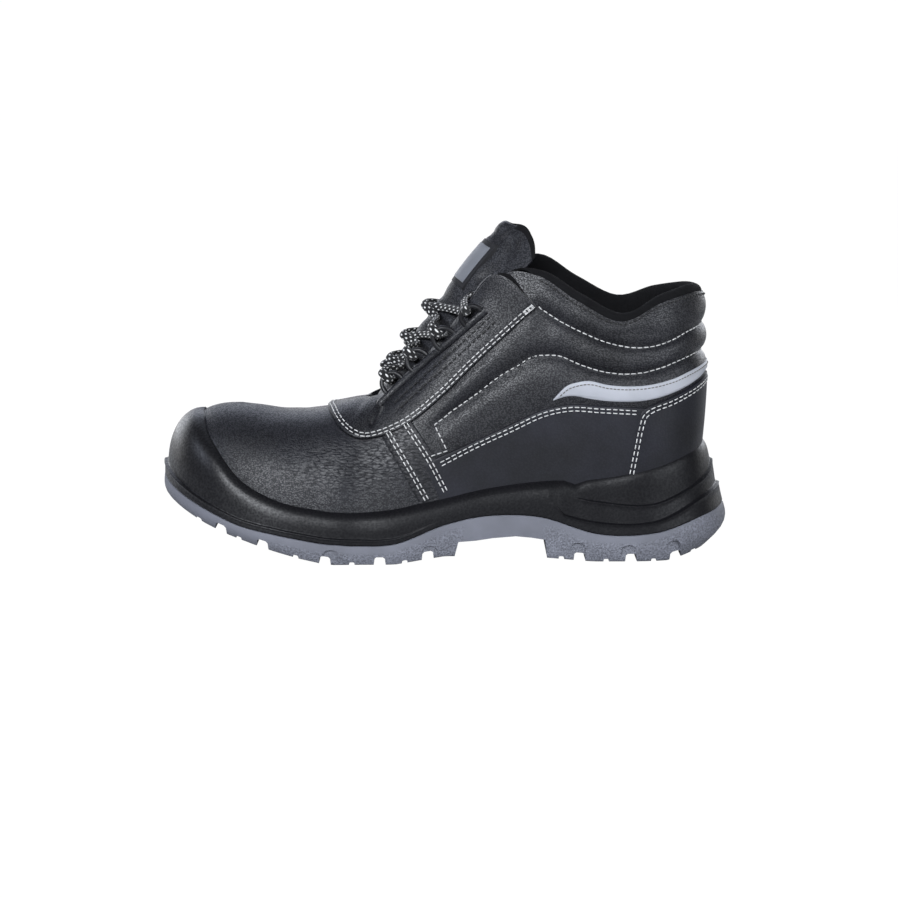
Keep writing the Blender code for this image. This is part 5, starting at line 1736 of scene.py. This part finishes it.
Light = namedtuple("Light", "name place aim size power tint")
LIGHTS = [
    Light("key", (0.45, 1.5, 0.78), (0.02, 0, 0.06), 0.8, 25.0, (0.92, 0.95, 1.0)),
    Light("rim", (0.2, -1.3, 1.1), (0, 0, 0.06), 1.2, 5.5, (0.78, 0.84, 1.0)),
    Light("inner_heel", (-0.9, -1.5, 0.65), (0, 0, 0.06), 0.8, 6.0, (0.88, 0.92, 1.0)),
    Light("inner_toe", (1.1, -1.4, 0.6), (0, 0, 0.06), 0.8, 4.5, (0.88, 0.92, 1.0)),
    Light("toe_side", (1.4, 0.4, 0.95), (0, 0, 0.1), 0.6, 4.5, (0.78, 0.84, 1.0)),
    Light("heel_side", (-1.2, 1.1, 0.6), (-0.05, 0, 0.08), 1.1, 13.0, (0.9, 0.94, 1.0)),
]
CAMERA_AIM, CAMERA_RISE, CAMERA_FAR = Vector((-0.0021, 0.0, 0.05465)), math.radians(6.5), 1.8
CAMERA_LENS, CAMERA_SENSOR = 135.0, 36.0
FLOOR_SIZE, FLOOR_MIDDLE, FLOOR_WHITE, FLOOR_CLEAR = (8.0, 18.0, 1.0), (0.0, -8.0, 0.0), 1.08, 0.93
DIM, BRIGHT = 0.05, 1.02


def facing_way(place, aim):
    """The turn of a lamp or camera at a place that faces its aim."""
    return (Vector(aim) - Vector(place)).to_track_quat("-Z", "Y").to_euler()


class SHOE_OT_stage(ShoeOperator, Operator):
    """Sets the floor, the studio light and the photograph's camera"""

    bl_idname = "shoe.stage"
    bl_label = "Stage"

    def build(self):
        clear_selection()
        bpy.ops.mesh.primitive_plane_add(size=1.0, location=FLOOR_MIDDLE)
        floor = bpy.context.object
        floor.name = "floor"
        floor.scale = FLOOR_SIZE
        bpy.ops.object.transform_apply(location=True, rotation=True, scale=True)
        material, graph, shader = finish("studio_floor", 0.7)
        grain = graph.noise(graph.place(), 40.0)
        surface(graph, shader, colours().floor, grain, grain, 0.00002, (0.7, 0.8), 1.01, 0.99)
        seen = graph.add("ShaderNodeLightPath").outputs["Is Camera Ray"]
        white = graph.add("ShaderNodeEmission", {"Strength": FLOOR_WHITE}).outputs[0]
        share = graph.math("MULTIPLY", seen, FLOOR_CLEAR)
        blend = graph.add("ShaderNodeMixShader", {0: share, 1: shader.outputs[0], 2: white})
        graph.feed(graph.tree.nodes["Material Output"].inputs["Surface"], blend.outputs[0])
        floor.data.materials.append(material)
        for light in LIGHTS:
            bpy.ops.object.light_add(type="AREA", location=light.place)
            lamp = bpy.context.object
            lamp.name = light.name
            lamp.data.size, lamp.data.energy, lamp.data.color = light.size, light.power, light.tint
            lamp.rotation_euler = facing_way(light.place, light.aim)
        away = Vector((0.0, math.cos(CAMERA_RISE), math.sin(CAMERA_RISE))) * CAMERA_FAR
        bpy.ops.object.camera_add(location=CAMERA_AIM + away)
        camera = bpy.context.object
        camera.name = "photo_camera"
        camera.rotation_euler = facing_way(camera.location, CAMERA_AIM)
        camera.data.lens, camera.data.sensor_width = CAMERA_LENS, CAMERA_SENSOR
        bpy.context.scene.camera = camera
        world = bpy.context.scene.world or bpy.data.worlds.new("studio")
        bpy.context.scene.world = world
        world.use_nodes = True
        graph = Graph(world.node_tree)
        sky = world.node_tree.nodes["Background"]
        sky.inputs["Color"].default_value = (1.0, 1.0, 1.0, 1.0)
        way = graph.add("ShaderNodeSeparateXYZ", {0: graph.place("Generated")}).outputs
        backdrop = graph.math("MULTIPLY", graph.span(way["Y"], -0.2, -0.6), graph.span(way["Z"], 0.5, 0.2))
        seen = graph.add("ShaderNodeLightPath").outputs["Is Camera Ray"]
        lit = graph.math("MAXIMUM", backdrop, seen)
        graph.feed(sky.inputs["Strength"], graph.span(lit, 0.0, 1.0, DIM, BRIGHT))
        bpy.context.scene.view_settings.view_transform = "Standard"


PIECES = (SHOE_OT_upper, SHOE_OT_lining, SHOE_OT_midsole, SHOE_OT_outsole, SHOE_OT_panels, SHOE_OT_strip,
          SHOE_OT_tongue, SHOE_OT_loops, SHOE_OT_lace, SHOE_OT_seams, SHOE_OT_stage)


class SHOE_PT_panel(Panel):
    """Lists the shoe's pieces and settings"""

    bl_idname = "SHOE_PT_panel"
    bl_label = "Safety shoe"
    bl_space_type = "VIEW_3D"
    bl_region_type = "UI"
    bl_category = "Shoe"

    def draw(self, context):
        """Draws the buttons, then the sizes and colours."""
        for piece in PIECES:
            self.layout.operator(piece.bl_idname)
        for group in (context.scene.shoe_sizes, context.scene.shoe_colours):
            box = self.layout.box()
            for name in group.bl_rna.properties.keys():
                if name not in ("rna_type", "name"):
                    box.prop(group, name)


CLASSES = (ShoeSizes, ShoeColours, *PIECES, SHOE_PT_panel)


def register():
    """Adds the settings, operators and panel."""
    for kind in CLASSES:
        bpy.utils.register_class(kind)
    bpy.types.Scene.shoe_sizes = PointerProperty(type=ShoeSizes)
    bpy.types.Scene.shoe_colours = PointerProperty(type=ShoeColours)


def unregister():
    """Takes the settings, operators and panel away."""
    del bpy.types.Scene.shoe_colours, bpy.types.Scene.shoe_sizes
    for kind in reversed(CLASSES):
        bpy.utils.unregister_class(kind)


def main():
    """Makes every piece."""
    register()
    for piece in PIECES:
        getattr(bpy.ops.shoe, piece.bl_idname.split(".")[1])()
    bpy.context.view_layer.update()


if __name__ == "__main__":
    main()
